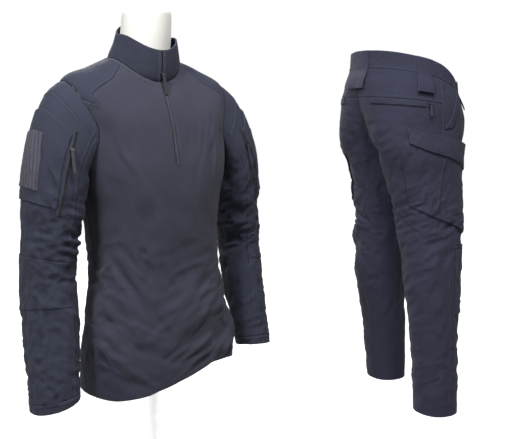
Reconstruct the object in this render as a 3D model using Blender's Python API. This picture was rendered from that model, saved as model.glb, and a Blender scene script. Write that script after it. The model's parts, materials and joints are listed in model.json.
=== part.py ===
"""A training uniform: a quarter-zip shirt on a torso form with its stand, and a pair of
cargo trousers that stand filled out beside it. Metres, +Z up, floor at z = 0. The shirt
faces -Y, and the origin is the middle of the stand's underside."""

import math

import bmesh
import bpy
import numpy as np

# Driving sizes
WALL = 0.002  # thickness of the cloth
SEAM_GAP = 0.0009  # between two pieces that meet at a seam
LAY_GAP = 0.0004  # under a piece that lies on another
FORM_CLEARANCE = 0.009  # between the shirt and the torso form inside it
TROUSER_SPOT = (0.864, 0.010)  # where the trousers stand
TROUSER_YAW = math.radians(77.0)  # turn of the trousers about +Z, away from facing -Y
BASE_RADIUS = 0.135
BASE_THICKNESS = 0.012
POLE_RADIUS = 0.0125
FORM_BOTTOM = 0.318  # underside of the torso form

# Colours: base colour, roughness, metallic
COLOURS = {
    "knit": ((0.060, 0.056, 0.082), 0.85, 0.0),
    "woven": ((0.052, 0.060, 0.085), 0.80, 0.0),
    "trouser": ((0.045, 0.050, 0.078), 0.80, 0.0),
    "loop": ((0.072, 0.070, 0.100), 0.95, 0.0),
    "zip": ((0.030, 0.032, 0.040), 0.55, 0.0),
    "pull": ((0.110, 0.115, 0.130), 0.45, 0.0),
    "form": ((0.850, 0.840, 0.800), 0.55, 0.0),
    "metal": ((0.700, 0.700, 0.700), 0.30, 0.9),
}

# Shirt body, from the hem up to the seam of the collar. A row is a ring round the body.
SHIRT_COLUMNS = ("half_width", "middle", "front", "back", "z_side", "z_front", "z_back", "square")
SHIRT_ROWS = (
    # name, then the columns above; the ring's front and back are its y, in metres
    ("hem", 0.176, -0.022, -0.158, 0.112, 0.240, 0.236, 0.232, 2.3),
    ("hip", 0.174, -0.024, -0.157, 0.108, 0.315, 0.312, 0.312, 2.3),
    ("high_hip", 0.163, -0.025, -0.148, 0.098, 0.400, 0.398, 0.400, 2.3),
    ("waist", 0.148, -0.018, -0.131, 0.096, 0.500, 0.498, 0.500, 2.3),
    ("ribs", 0.153, -0.010, -0.127, 0.108, 0.610, 0.606, 0.612, 2.3),
    ("armpit", 0.176, -0.002, -0.124, 0.122, 0.735, 0.712, 0.735, 2.4),
    ("chest", 0.184, 0.004, -0.112, 0.122, 0.825, 0.770, 0.815, 2.4),
    ("shoulder", 0.192, 0.010, -0.098, 0.116, 0.905, 0.825, 0.880, 2.3),
    ("trapezius", 0.128, 0.013, -0.078, 0.102, 0.938, 0.872, 0.930, 2.2),
    ("neck_seam", 0.080, 0.012, -0.057, 0.084, 0.956, 0.905, 0.966, 2.1),
)
# How far the hem rides up, by the angle round the body from the centre front
HEM_LIFTS = (
    (-180.0, 0.010),
    (-120.0, 0.002),
    (-60.0, 0.003),
    (-30.0, 0.016),
    (-12.0, 0.033),
    (0.0, 0.046),
    (15.0, 0.058),
    (35.0, 0.055),
    (60.0, 0.038),
    (90.0, 0.028),
    (135.0, 0.030),
    (180.0, 0.010),
)
HEM_LIFT_LEVELS = 2.6  # rows of the table above the hem over which the lift fades
ARMPIT, SHOULDER, NECK_SEAM = 5, 7, 9  # places of those rows in the table

# Steps over which each surface's normals are read
SHIRT_STEPS, COLLAR_STEPS, SLEEVE_STEPS, LEG_STEPS = (0.004, 0.01), (0.004, 0.02), (0.05, 0.05), (0.01, 0.002)

# Lines down the shirt body, as degrees from the centre front to the centre back, on each
# side. The second row is where the same lines meet the seam of the collar.
LINES_BODY = (0.75, 10.0, 21.0, 32.0, 43.5, 55.0, 72.5, 90.0, 107.5, 125.0, 138.0, 152.0, 166.0)
LINES_NECK = (2.4, 17.0, 32.0, 48.0, 63.0, 72.0, 81.0, 90.0, 99.0, 108.0, 124.0, 142.0, 161.0)
ARM_FIRST, ARM_LAST = 5, 9  # the lines at the front and back of the armhole
YOKE_FIRST, YOKE_LAST = 4, 11  # the lines that bound the shoulder yoke
ARM_HALF_TURN = math.radians(35.0)  # from the side line to the front of the armhole
ARM_SPREAD = 1.3  # how far round the armhole its curve still bends the lines, in half heights

# Collar, from its seam to its top edge
COLLAR_ROWS = (
    ("seam", 0.080, 0.012, -0.057, 0.084, 0.956, 0.905, 0.966, 2.1),
    ("fold", 0.0775, 0.009, -0.0605, 0.081, 0.966, 0.917, 0.975, 2.1),
    ("middle", 0.0715, 0.003, -0.0625, 0.070, 0.985, 0.943, 0.999, 2.1),
    ("top", 0.0665, -0.002, -0.0625, 0.060, 1.006, 0.972, 1.036, 2.1),
)

# The form's neck: name, radius, middle y, z, forward tilt of the ring
NECK_ROWS = (
    ("base", 0.0600, 0.012, 0.962, 0.36),
    ("low", 0.0560, 0.007, 0.985, 0.28),
    ("mid", 0.0545, 0.001, 1.015, 0.16),
    ("high", 0.0535, -0.003, 1.045, 0.05),
    ("edge", 0.0515, -0.004, 1.055, 0.00),
    ("cap", 0.0450, -0.004, 1.059, 0.00),
)

# Sleeves: a row is a ring across the arm. long is half its size from front to back, thin
# half its size from side to side, yaw the turn of its front towards the body in degrees.
SLEEVE_COLUMNS = ("out", "y", "z", "long", "thin", "yaw", "dip")
SLEEVES = {
    "right": (
        ("biceps", 0.2260, -0.004, 0.690, 0.0735, 0.0530, 12, 0.040),
        ("upper", 0.2350, 0.002, 0.620, 0.0700, 0.0520, 14, 0.020),
        ("elbow", 0.2440, 0.006, 0.505, 0.0650, 0.0475, 17, 0.008),
        ("forearm", 0.2490, -0.010, 0.405, 0.0650, 0.0475, 22, 0.004),
        ("wrist", 0.2590, -0.036, 0.296, 0.0580, 0.0410, 28, 0.002),
        ("cuff", 0.2630, -0.048, 0.250, 0.0560, 0.0395, 31, -0.040),
    ),
    "left": (
        ("biceps", 0.2370, 0.000, 0.690, 0.0735, 0.0510, 12, 0.040),
        ("upper", 0.2500, 0.010, 0.620, 0.0700, 0.0510, 14, 0.020),
        ("elbow", 0.2610, 0.016, 0.525, 0.0660, 0.0475, 17, 0.010),
        ("forearm", 0.2560, -0.010, 0.440, 0.0650, 0.0475, 22, 0.006),
        ("wrist", 0.2510, -0.040, 0.345, 0.0590, 0.0430, 28, 0.004),
        ("cuff", 0.2515, -0.058, 0.280, 0.0565, 0.0405, 31, -0.010),
    ),
}
# The largest folds: the two ends of each, its half width, and its height out of the cloth
# (a hollow where it is less than 0)
FOLD_COLUMNS = ("x1", "y1", "z1", "x2", "y2", "z2", "width", "height")
SHIRT_FOLDS = (
    ("right_armhole", -0.150, -0.095, 0.800, -0.125, -0.125, 0.640, 0.020, -0.0070),
    ("right_chest", -0.115, -0.120, 0.800, -0.090, -0.125, 0.660, 0.022, 0.0045),
    ("left_armhole", 0.150, -0.095, 0.790, 0.135, -0.115, 0.660, 0.020, -0.0060),
    ("right_hip", -0.150, -0.085, 0.410, -0.100, -0.150, 0.330, 0.016, -0.0055),
    ("right_hip_low", -0.165, -0.075, 0.360, -0.115, -0.145, 0.300, 0.014, 0.0050),
    ("left_hip", 0.165, -0.070, 0.430, 0.090, -0.150, 0.350, 0.018, -0.0060),
    ("left_hip_low", 0.175, -0.060, 0.380, 0.110, -0.150, 0.310, 0.016, 0.0055),
    ("back_right", -0.120, 0.095, 0.560, -0.030, 0.105, 0.500, 0.020, -0.0055),
    ("back_left", 0.125, 0.095, 0.570, 0.035, 0.105, 0.515, 0.020, -0.0055),
    ("back_blade_right", -0.110, 0.125, 0.740, -0.150, 0.100, 0.840, 0.022, -0.0050),
    ("back_blade_left", 0.110, 0.125, 0.740, 0.150, 0.100, 0.840, 0.022, -0.0050),
)
# of the right sleeve; the left one has them mirrored
SLEEVE_FOLDS = (
    ("elbow", -0.290, -0.020, 0.622, -0.200, -0.055, 0.598, 0.016, -0.0065),
    ("above_elbow", -0.290, -0.020, 0.655, -0.205, -0.060, 0.640, 0.017, 0.0045),
    ("below_elbow", -0.300, -0.010, 0.560, -0.205, -0.050, 0.580, 0.017, 0.0050),
    ("inner_elbow", -0.190, -0.020, 0.560, -0.235, -0.070, 0.520, 0.016, -0.0050),
    ("forearm", -0.300, -0.010, 0.380, -0.240, -0.075, 0.345, 0.018, -0.0045),
    ("back_arm", -0.290, 0.045, 0.600, -0.215, 0.070, 0.560, 0.018, -0.0050),
)
# of the right leg, in the frame of the trousers; the left one has them mirrored, and
# moved along y by the difference between the legs
LEG_FOLDS = (
    ("behind_knee", -0.082, 0.046, 0.560, -0.180, 0.027, 0.480, 0.018, -0.0080),
    ("behind_knee_low", -0.089, 0.044, 0.500, -0.192, 0.028, 0.430, 0.017, 0.0060),
    ("calf", -0.101, 0.054, 0.440, -0.199, 0.023, 0.360, 0.020, -0.0065),
    ("thigh_inner", -0.031, 0.064, 0.690, -0.062, 0.061, 0.590, 0.018, -0.0065),
    ("seat", -0.037, 0.107, 0.740, -0.131, 0.084, 0.690, 0.022, -0.0065),
    ("above_knee", -0.062, -0.097, 0.600, -0.162, -0.109, 0.560, 0.018, -0.0060),
    ("shin", -0.122, -0.084, 0.270, -0.209, -0.066, 0.230, 0.018, -0.0050),
    ("hem", -0.137, 0.048, 0.130, -0.229, 0.026, 0.090, 0.018, -0.0050),
)
SIDES = {"right": -1.0, "left": 1.0}
ARM_ACROSS, ARM_UP = 4, 6  # cells along the top or bottom, and up the front or back, of an armhole
ARM_CELLS = 2 * (ARM_ACROSS + ARM_UP)  # cells round a sleeve
ARM_FRONT, ARM_BACK = 5, 15  # the places round a sleeve of its front and back seams
CAP_RINGS = 5  # from the armhole to the first ring of the table
TUBE_RINGS = 15

# Trousers: a row is a ring round one leg, or half of the hips. out is the ring's middle
# from the centre line, half its half size from side to side, and middle, front and back
# are along y. The left leg stands a little forward.
LEG_COLUMNS = ("z", "out", "half", "middle", "front", "back", "square")
HIP_ROWS = (
    ("fork", 0.735, 0.0965, 0.0950, 0.000, 0.1120, 0.1330, 2.2),
    ("low_hip", 0.790, 0.0780, 0.1070, 0.000, 0.1340, 0.1480, 2.2),
    ("hip", 0.850, 0.0480, 0.1360, 0.000, 0.1490, 0.1550, 2.2),
    ("high_hip", 0.895, 0.0210, 0.1560, 0.000, 0.1490, 0.1540, 2.2),
    ("waist", 0.932, 0.0040, 0.1600, 0.000, 0.1430, 0.1460, 2.2),
    ("top", 0.980, 0.0000, 0.1580, 0.000, 0.1410, 0.1430, 2.2),
)
LEFT_HIP = 0.93  # the left side of the hips is drawn in by the forward leg
LEG_ROWS = {
    "right": (
        ("hem", 0.000, 0.1940, 0.0600, -0.002, 0.0590, 0.0600, 2.2),
        ("ankle", 0.080, 0.1860, 0.0605, -0.003, 0.0600, 0.0610, 2.2),
        ("shin", 0.220, 0.1670, 0.0650, -0.009, 0.0660, 0.0680, 2.2),
        ("calf", 0.350, 0.1470, 0.0710, -0.015, 0.0720, 0.0780, 2.2),
        ("knee", 0.470, 0.1260, 0.0780, -0.019, 0.0810, 0.0860, 2.2),
        ("low_thigh", 0.570, 0.1090, 0.0855, -0.018, 0.0900, 0.0980, 2.2),
        ("thigh", 0.660, 0.0985, 0.0910, -0.010, 0.0980, 0.1120, 2.2),
        *HIP_ROWS,
    ),
    "left": (
        ("hem", 0.000, 0.1100, 0.0600, -0.049, 0.0590, 0.0600, 2.2),
        ("ankle", 0.080, 0.1080, 0.0605, -0.044, 0.0600, 0.0610, 2.2),
        ("shin", 0.220, 0.1020, 0.0650, -0.027, 0.0660, 0.0680, 2.2),
        ("calf", 0.350, 0.0950, 0.0710, -0.007, 0.0720, 0.0770, 2.2),
        ("knee", 0.470, 0.0870, 0.0745, 0.003, 0.0800, 0.0760, 2.2),
        ("low_thigh", 0.570, 0.0820, 0.0760, 0.003, 0.0880, 0.0840, 2.2),
        ("thigh", 0.660, 0.0820, 0.0800, 0.000, 0.0980, 0.1000, 2.2),
        *((name, z, out * LEFT_HIP, half * LEFT_HIP, *rest) for name, z, out, half, *rest in HIP_ROWS),
    ),
}
LEFT_FOLD_MOVE = 0.026
FORK_Z = 0.735
WAIST_SEAM_Z = 0.932
WAIST_TOP_Z = 0.975
WAIST_TILT = 0.25  # rise of the waist towards the back, in metres for each metre
FRONT_DIP, DIP_FROM_Y = 2.0, 0.03  # how much further the front dips, for each square metre
TILT_FROM_Z = 0.765
YOKE_Z = 0.863  # the seam under the back yoke


ZIP_FOOT_LEVEL = 5.333  # place of the zip's foot in the table of the shirt body
SIDE_LINE = 7  # the line of the side seam
COLLAR_LEVELS = np.array([0.02, 1.0, 2.0, 3.0])
COLLAR_WALL = 0.0032
BAND_WALL = 0.0035
ARMHOLE_GAP_RING = 0.02  # where the sleeve starts, in rings from the edge of the armhole
CAP_SEAM_RING = 1
FORM_CELLS = 24
FORM_LEVELS = (1.0, 1.2, 1.7, 2.3, 2.9, 3.5, 4.1, 4.7, 5.3, 5.9, 6.4, 6.8, 7.2, 7.7, 8.2, 8.7)
FORM_TOP = 1.0605
STAND_CELLS = 24
# radius and z of the stand's outline, from the floor up
STAND_OUTLINE = (
    (BASE_RADIUS, 0.0),
    (BASE_RADIUS, BASE_THICKNESS - 0.003),
    (BASE_RADIUS - 0.003, BASE_THICKNESS),
    (0.024, BASE_THICKNESS + 0.002),
    (0.022, BASE_THICKNESS + 0.030),
    (POLE_RADIUS, BASE_THICKNESS + 0.034),
    (POLE_RADIUS, FORM_BOTTOM - SEAM_GAP),
)

# Pieces that lie on the sleeve, made from its own points: height above the cloth,
# thickness (a list runs round the sleeve), colour, first and last place and ring
SLEEVE_LAYERS = (
    ("sleeve_pocket", 0.0004, (0.002, 0.0032, 0.0032, 0.002), "woven", (7, 14), (2, 7)),
    ("loop_panel", 0.0041, 0.0018, "loop", (9, 13), (3, 6)),
    ("elbow_patch", 0.0006, (0.0016, 0.0024, 0.0024, 0.0016), "woven", (5, 15), (10, 13)),
)

# Pieces that lie on the trousers, made from the points of a leg panel: height above the
# cloth and thickness (a list runs up or round), colour, half of the leg, first and last
# line round the leg and row up it
LEG_LAYERS = (
    ("knee_patch", 0.0004, (0.002, 0.004, 0.004, 0.002), "trouser", "front", (1, 9), (5, 9)),
    ("back_welt", 0.0004, 0.0018, "trouser", "back", (2, 8), (20, 21)),
    ("belt_loop_back", (0.0090, 0.0060, 0.0012, 0.0008, 0.0008), 0.0025, "trouser", "back", (1, 3), (22, 26)),
    ("belt_loop_front", (0.0040, 0.0020, 0.0010, 0.0008, 0.0008), 0.0022, "trouser", "front", (5, 6), (22, 26)),
)

# Slanted pieces on the trousers, that don't follow its lines: height, thickness, colour,
# cells across and up, and the corners as (turn, z)
SLANTED_LAYERS = (
    ("cargo_pocket", 0.0030, (0.002, 0.0022, 0.0025, 0.0030, 0.0042, 0.0045, 0.0042, 0.002), "trouser", (11, 8), ((0.36, 0.587), (-0.40, 0.484), (-0.40, 0.680), (0.29, 0.768))),
    ("cargo_flap", 0.0092, 0.0018, "trouser", (10, 3), ((0.265, 0.757), (-0.43, 0.665), (-0.43, 0.742), (0.300, 0.795))),
    ("front_pocket", 0.0012, 0.0016, "trouser", (2, 8), ((-0.10, 0.800), (-0.02, 0.795), (-0.27, 0.928), (-0.36, 0.928))),
)
BUTTON, BUTTON_RADIUS, BUTTON_THICK, BUTTON_SIDES = (-0.93, 0.954), 7.0, 2.4, 12

# The gusset over each side of the shirt's hem, with corners as (degrees from the front, level)
PANEL_LIFT = 0.0031
SIDE_PANEL = ((38, 0.03), (142, 0.03), (97, 1.95), (84, 1.95))

# Rows up one leg, and lines round it as turns from its outer seam
LEG_HEIGHTS = np.array(
    [0.0, 0.055, 0.110, 0.165, 0.220, 0.280, 0.330, 0.380, 0.430, 0.470, 0.520, 0.570, 0.620, 0.665, 0.700, FORK_Z]
    + [0.745, 0.763, 0.787, 0.814, 0.8485, YOKE_Z, 0.884, 0.908, WAIST_SEAM_Z, 0.9535, WAIST_TOP_Z]
)
BAND_HEIGHTS = LEG_HEIGHTS[-3:]
FRONT_TURNS = (-1.0, -0.9, -0.8, -0.7, -0.6, -0.5, -0.4, -0.3, -0.2, -0.1, 0.0)
BACK_TURNS = (0.0, 0.1, 0.16, 0.27, 0.37, 0.47, 0.57, 0.67, 0.77, 0.88, 1.0)
CENTRE_LOOP = (1.88, 1.94, 2.0, 2.06, 2.12)  # places round the waist, with the centre back at 2

# Waistband pieces: first and last place round the waist
WAISTBAND = (
    ("waistband_elastic_left", 0.70, 1.10),
    ("waistband_back", 1.10, 2.90),
    ("waistband_elastic_right", 2.90, 3.30),
    ("waistband_front", 3.30, 4.70),
)

# Zip sliders and their pulls, in millimetres from the face of the cloth below them
SLIDER_LOW, SLIDER_HIGH, PIN_OUT, PIN_RADIUS = 0.0, 2.6, 4.9, 0.8
EAR_IN, EAR_OUT = 3.8, 5.0
LOOP_IN, LOOP_OUT, TAB_THICK, TAB_HALF = 1.2, 2.0, 1.8, 3.4
# garment, side, place on its surface, height over it (m), lean (degrees), length (mm)
ZIPS = {
    "neck_zip": ("collar", "right", 0.0, 1.15, 0.0022, 20.0, 44.0),
    "sleeve_zip_right": ("sleeve", "right", 6.55, 2.75, 0.0010, 5.0, 46.0),
    "sleeve_zip_left": ("sleeve", "left", 6.55, 2.75, 0.0010, 5.0, 46.0),
    "back_zip_right": ("leg", "right", 0.122, 0.852, 0.0008, 3.0, 26.0),
    "back_zip_left": ("leg", "left", 0.122, 0.852, 0.0008, 3.0, 26.0),
}


def spline(values, at):
    """A smooth curve through values, read at places from 0 to len(values) - 1."""
    values = np.asarray(values, float)
    last = len(values) - 1
    at = np.clip(np.asarray(at, float), 0.0, last)
    i = np.minimum(at.astype(int), last - 1)
    f = at - i
    p1, p2 = values[i], values[i + 1]
    p0 = np.where(i > 0, values[np.maximum(i - 1, 0)], 2 * p1 - p2)
    p3 = np.where(i + 2 <= last, values[np.minimum(i + 2, last)], 2 * p2 - p1)
    bend = 2 * p0 - 5 * p1 + 4 * p2 - p3
    return 0.5 * (2 * p1 + (p2 - p0) * f + bend * f**2 + (3 * p1 - p0 - 3 * p2 + p3) * f**3)


def table(rows, columns, at):
    """The columns of a table as a dict, read at a place along its rows."""
    return {name: spline([row[n + 1] for row in rows], at) for n, name in enumerate(columns)}


def unit(vectors):
    return vectors / np.maximum(np.linalg.norm(vectors, axis=-1, keepdims=True), 1e-9)


def fold_height(points, folds):
    """How far the folds of a table lift the cloth at the points."""
    total = np.zeros(points.shape[:-1])
    for _, x1, y1, z1, x2, y2, z2, width, height in folds:
        start, span = np.array([x1, y1, z1]), np.array([x2 - x1, y2 - y1, z2 - z1])
        share = np.clip(np.sum((points - start) * span, axis=-1) / np.dot(span, span), 0, 1)
        away = np.linalg.norm(points - start - share[..., None] * span, axis=-1)
        total += height * np.exp(-((away / width) ** 2))
    return total


def folded(plain, u, v, steps, side, folds):
    """A plain surface with the folds of a table."""
    points = plain(u, v)
    facing = normals(plain, u, v, *steps) * side
    return points + facing * fold_height(points, folds)[..., None]


def mirrored_folds(folds, move_y=0.0):
    return [(n, -x1, y1 + move_y, z1, -x2, y2 + move_y, z2, w, h) for n, x1, y1, z1, x2, y2, z2, w, h in folds]


def ring_point(rows, theta, level):
    """A point of a ring table: theta is 0 at the front and half a turn at the back."""
    row = table(rows, SHIRT_COLUMNS, level)
    power = 2.0 / row["square"]
    s, c = np.sin(theta), np.cos(theta)
    along = np.abs(c) ** power
    edge = np.where(c > 0, row["front"], row["back"])
    z_edge = np.where(c > 0, row["z_front"], row["z_back"])
    x = row["half_width"] * np.sign(s) * np.abs(s) ** power
    y = row["middle"] + (edge - row["middle"]) * along
    z = row["z_side"] + (z_edge - row["z_side"]) * along**2
    return np.stack([x, y, z], axis=-1)


def shirt_body(theta, level):
    point = ring_point(SHIRT_ROWS, theta, level)
    angles, lifts = zip(*HEM_LIFTS)
    turn = np.degrees(np.arctan2(np.sin(theta), np.cos(theta)))
    place = np.interp(turn, angles, range(len(angles)))
    low = np.clip(1.0 - np.asarray(level) / HEM_LIFT_LEVELS, 0, 1)
    point[..., 2] += spline(lifts, place) * low * low * (3 - 2 * low)
    return point


def collar(theta, level):
    return ring_point(COLLAR_ROWS, theta, level)


def armhole_bend(theta, level):
    """Moves a place on the shirt body so that the armhole's square of cells is a round hole."""
    side = np.sign(np.sin(theta))
    middle = (ARMPIT + SHOULDER) / 2
    half = (SHOULDER - ARMPIT) / 2
    p = (np.abs(np.arctan2(np.sin(theta), np.cos(theta))) - math.pi / 2) / ARM_HALF_TURN
    q = (level - middle) / half
    reach = np.maximum(np.maximum(np.abs(p), np.abs(q)), 1e-9)
    p1, q1 = p / np.maximum(reach, 1.0), q / np.maximum(reach, 1.0)
    fade = np.clip(1.0 - (reach - 1.0) / ARM_SPREAD, 0.0, 1.0)
    fade = np.where(reach > 1.0, fade * fade * (3 - 2 * fade), 1.0)
    moved_p = p + (p1 * np.sqrt(1 - q1**2 / 2) - p1) * fade
    moved_q = q + (q1 * np.sqrt(1 - p1**2 / 2) - q1) * fade
    theta = side * (math.pi / 2 + moved_p * ARM_HALF_TURN)
    return theta, middle + moved_q * half


def line_angle(place, level):
    """The angle of a line down the shirt body; place may lie between two lines."""
    count = len(LINES_BODY)
    around = np.abs(place)
    body = spline(LINES_BODY + (180.0,), np.clip(around, 0, count))
    neck = spline(LINES_NECK + (180.0,), np.clip(around, 0, count))
    share = np.clip((level - SHOULDER) / (NECK_SEAM - SHOULDER), 0, 1)
    return np.radians(body + (neck - body) * share)


def shirt_plain(theta, level):
    return shirt_body(*armhole_bend(theta, level))


def shirt_surface(theta, level):
    return folded(shirt_plain, theta, level, SHIRT_STEPS, 1.0, SHIRT_FOLDS)


def armhole(side, place):
    """The edge of an armhole: place runs from 0 at the armpit, up the front, over the
    shoulder and down the back, to ARM_CELLS."""
    place = np.mod(np.asarray(place, float), ARM_CELLS)
    half = ARM_ACROSS / 2
    # the corners of the square of cells, each as (place, p, q)
    at = (0.0, half, half + ARM_UP, half + ARM_UP + ARM_ACROSS, ARM_CELLS - half, ARM_CELLS)
    p = np.interp(place, at, (0.0, -1.0, -1.0, 1.0, 1.0, 0.0))
    q = np.interp(place, at, (-1.0, -1.0, 1.0, 1.0, -1.0, -1.0))
    theta = SIDES[side] * (math.pi / 2 + p * ARM_HALF_TURN)
    level = (ARMPIT + SHOULDER) / 2 + q * (SHOULDER - ARMPIT) / 2
    return shirt_surface(theta, level)


def sleeve_tube(side, place, along):
    """A point of the sleeve below its cap; along is a place in the side's table."""
    row = table(SLEEVES[side], SLEEVE_COLUMNS, along)
    sign = SIDES[side]
    turn = 2 * math.pi * np.asarray(place, float) / ARM_CELLS
    step = 0.05
    ahead = table(SLEEVES[side], SLEEVE_COLUMNS, np.asarray(along) + step)
    behind = table(SLEEVES[side], SLEEVE_COLUMNS, np.asarray(along) - step)
    axis = [sign * (ahead["out"] - behind["out"]), ahead["y"] - behind["y"], ahead["z"] - behind["z"]]
    axis = unit(np.stack(np.broadcast_arrays(*axis), axis=-1))
    yaw = np.radians(row["yaw"])
    outward = np.stack([sign * np.cos(yaw), -np.sin(yaw) + 0 * yaw, 0 * yaw], axis=-1)
    outward = unit(outward - axis * np.sum(outward * axis, axis=-1, keepdims=True))
    forward = np.cross(axis, outward) * sign
    forward = np.where(forward[..., 1:2] > 0, -forward, forward)
    middle = np.stack([sign * row["out"], row["y"], row["z"] + 0 * yaw], axis=-1)
    thin = (-np.cos(turn) * row["thin"])[..., None] * outward
    long = (np.sin(turn) * row["long"])[..., None] * forward
    point = middle + thin + long
    # the inner side of the first rings hangs lower than the outer side, by dip
    point[..., 2] -= row["dip"] * np.cos(turn) * 0.5
    return point


def sleeve(side, place, ring):
    """A point of a sleeve: ring is 0 at the armhole, CAP_RINGS where the tube starts."""
    folds = SLEEVE_FOLDS if side == "right" else mirrored_folds(SLEEVE_FOLDS)
    return folded(lambda u, v: sleeve_plain(side, u, v), place, ring, SLEEVE_STEPS, -SIDES[side], folds)


def sleeve_plain(side, place, ring):
    place, ring = np.broadcast_arrays(np.asarray(place, float), np.asarray(ring, float))
    last = len(SLEEVES[side]) - 1
    along = (ring - CAP_RINGS) / TUBE_RINGS * last
    tube = sleeve_tube(side, place, along)
    start = armhole(side, place)
    end = sleeve_tube(side, place, np.zeros_like(place))
    below = sleeve_tube(side, place, np.full_like(place, 0.2))
    turn = 2 * math.pi * place / ARM_CELLS
    up = (1 - np.cos(turn)) / 2  # 0 at the armpit, 1 over the shoulder
    out = np.stack([SIDES[side] * (0.55 + 0.45 * up), -0.12 * np.sin(turn), -0.75 + 0.40 * up], axis=-1)
    span = np.linalg.norm(end - start, axis=-1, keepdims=True)
    leave = unit(out) * span * (0.58 + 0.30 * up[..., None])
    arrive = unit(below - end) * span * (0.6 + 0.38 * up[..., None])
    t = np.clip(ring / CAP_RINGS, 0, 1)[..., None]
    cap = (
        (2 * t**3 - 3 * t**2 + 1) * start
        + (t**3 - 2 * t**2 + t) * leave
        + (-2 * t**3 + 3 * t**2) * end
        + (t**3 - t**2) * arrive
    )
    return np.where(t < 1.0, cap, tube)


def leg(side, turn, z):
    """A point of the trousers in their own frame, facing -Y. turn is 0 at the outer seam,
    -1 at the inner edge of the front, and 1 at the inner edge of the back."""
    folds = LEG_FOLDS if side == "right" else mirrored_folds(LEG_FOLDS, LEFT_FOLD_MOVE)
    return folded(lambda u, v: leg_plain(side, u, v), turn, z, LEG_STEPS, SIDES[side], folds)


def leg_plain(side, turn, z):
    turn, z = np.broadcast_arrays(np.asarray(turn, float), np.asarray(z, float))
    heights = [row[1] for row in LEG_ROWS[side]]
    place = np.interp(z, heights, range(len(heights)))
    row = {name: spline([r[n + 1] for r in LEG_ROWS[side]], place) for n, name in enumerate(LEG_COLUMNS)}
    power = 2.0 / row["square"]
    ratio = np.clip(row["out"] / row["half"], 0.0, 1.0)
    last = math.pi - np.where(z <= FORK_Z, 0.0, np.arccos(ratio ** (1 / power)))
    angle = np.abs(turn) * last
    s, c = np.sin(angle), np.cos(angle)
    x = row["out"] + row["half"] * np.sign(c) * np.abs(c) ** power
    depth = np.where(turn < 0, -row["front"], row["back"])
    y = row["middle"] + depth * np.sign(s) * np.abs(s) ** power
    lift = np.clip((z - TILT_FROM_Z) / (WAIST_TOP_Z - TILT_FROM_Z), 0, 1)
    rise = WAIST_TILT * y - FRONT_DIP * np.minimum(y - DIP_FROM_Y, 0.0) ** 2
    return np.stack([SIDES[side] * x, y, z + rise * lift], axis=-1)


def to_world(points):
    """Turns and moves points of the trousers to where they stand."""
    c, s = math.cos(TROUSER_YAW), math.sin(TROUSER_YAW)
    x, y = points[..., 0], points[..., 1]
    world = [c * x - s * y + TROUSER_SPOT[0], s * x + c * y + TROUSER_SPOT[1], points[..., 2]]
    return np.stack(world, axis=-1)


def normals(surface, u, v, du, dv):
    """Unit normals of surface(u, v), by small steps."""
    along_u = surface(u + du, v) - surface(u - du, v)
    along_v = surface(u, v + dv) - surface(u, v - dv)
    return unit(np.cross(along_u, along_v))


def material(name):
    found = bpy.data.materials.get(name)
    if found:
        return found
    colour, roughness, metallic = COLOURS[name]
    made = bpy.data.materials.new(name)
    made.use_nodes = True
    shader = made.node_tree.nodes["Principled BSDF"]
    shader.inputs["Base Color"].default_value = (*colour, 1.0)
    shader.inputs["Roughness"].default_value = roughness
    shader.inputs["Metallic"].default_value = metallic
    made.diffuse_color = (*colour, 1.0)
    return made


def add_mesh(name, points, faces, colour):
    mesh = bpy.data.meshes.new(name)
    mesh.from_pydata([tuple(p) for p in points], [], faces)
    mesh.update()
    obj = bpy.data.objects.new(name, mesh)
    bpy.data.collections["training_uniform"].objects.link(obj)
    mesh.materials.append(material(colour))
    mesh.shade_smooth()
    return obj


def slab(name, outer, inner, cells, colour):
    """A closed solid between two grids of points, on the cells (row, column) given."""
    rows, columns = outer.shape[:2]
    cells = sorted(cells)
    corners = [[(i, j), (i, (j + 1) % columns), (i + 1, (j + 1) % columns), (i + 1, j)] for i, j in cells]
    used = sorted({corner for quad in corners for corner in quad})
    index = {corner: n for n, corner in enumerate(used)}
    count = len(used)
    points = [outer[c] for c in used] + [inner[c] for c in used]
    faces = []
    for quad in corners:
        a, b, c, d = (index[corner] for corner in quad)
        faces += [[a, b, c], [a, c, d]]
        faces += [[c + count, b + count, a + count], [d + count, c + count, a + count]]
    edges = {}
    for quad in corners:
        for a, b in zip(quad, quad[1:] + quad[:1]):
            edges[(a, b)] = edges.get((a, b), 0) + 1
    for a, b in edges:
        if (b, a) not in edges:
            low, high = index[b], index[a]
            faces += [[low, high, high + count], [low, high + count, low + count]]
    obj = add_mesh(name, points, faces, colour)
    make_outward(obj.data)
    return obj


def make_outward(mesh):
    work = bmesh.new()
    work.from_mesh(mesh)
    bmesh.ops.recalc_face_normals(work, faces=work.faces)
    if work.calc_volume(signed=True) < 0:
        bmesh.ops.reverse_faces(work, faces=work.faces)
    work.to_mesh(mesh)
    work.free()


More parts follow.
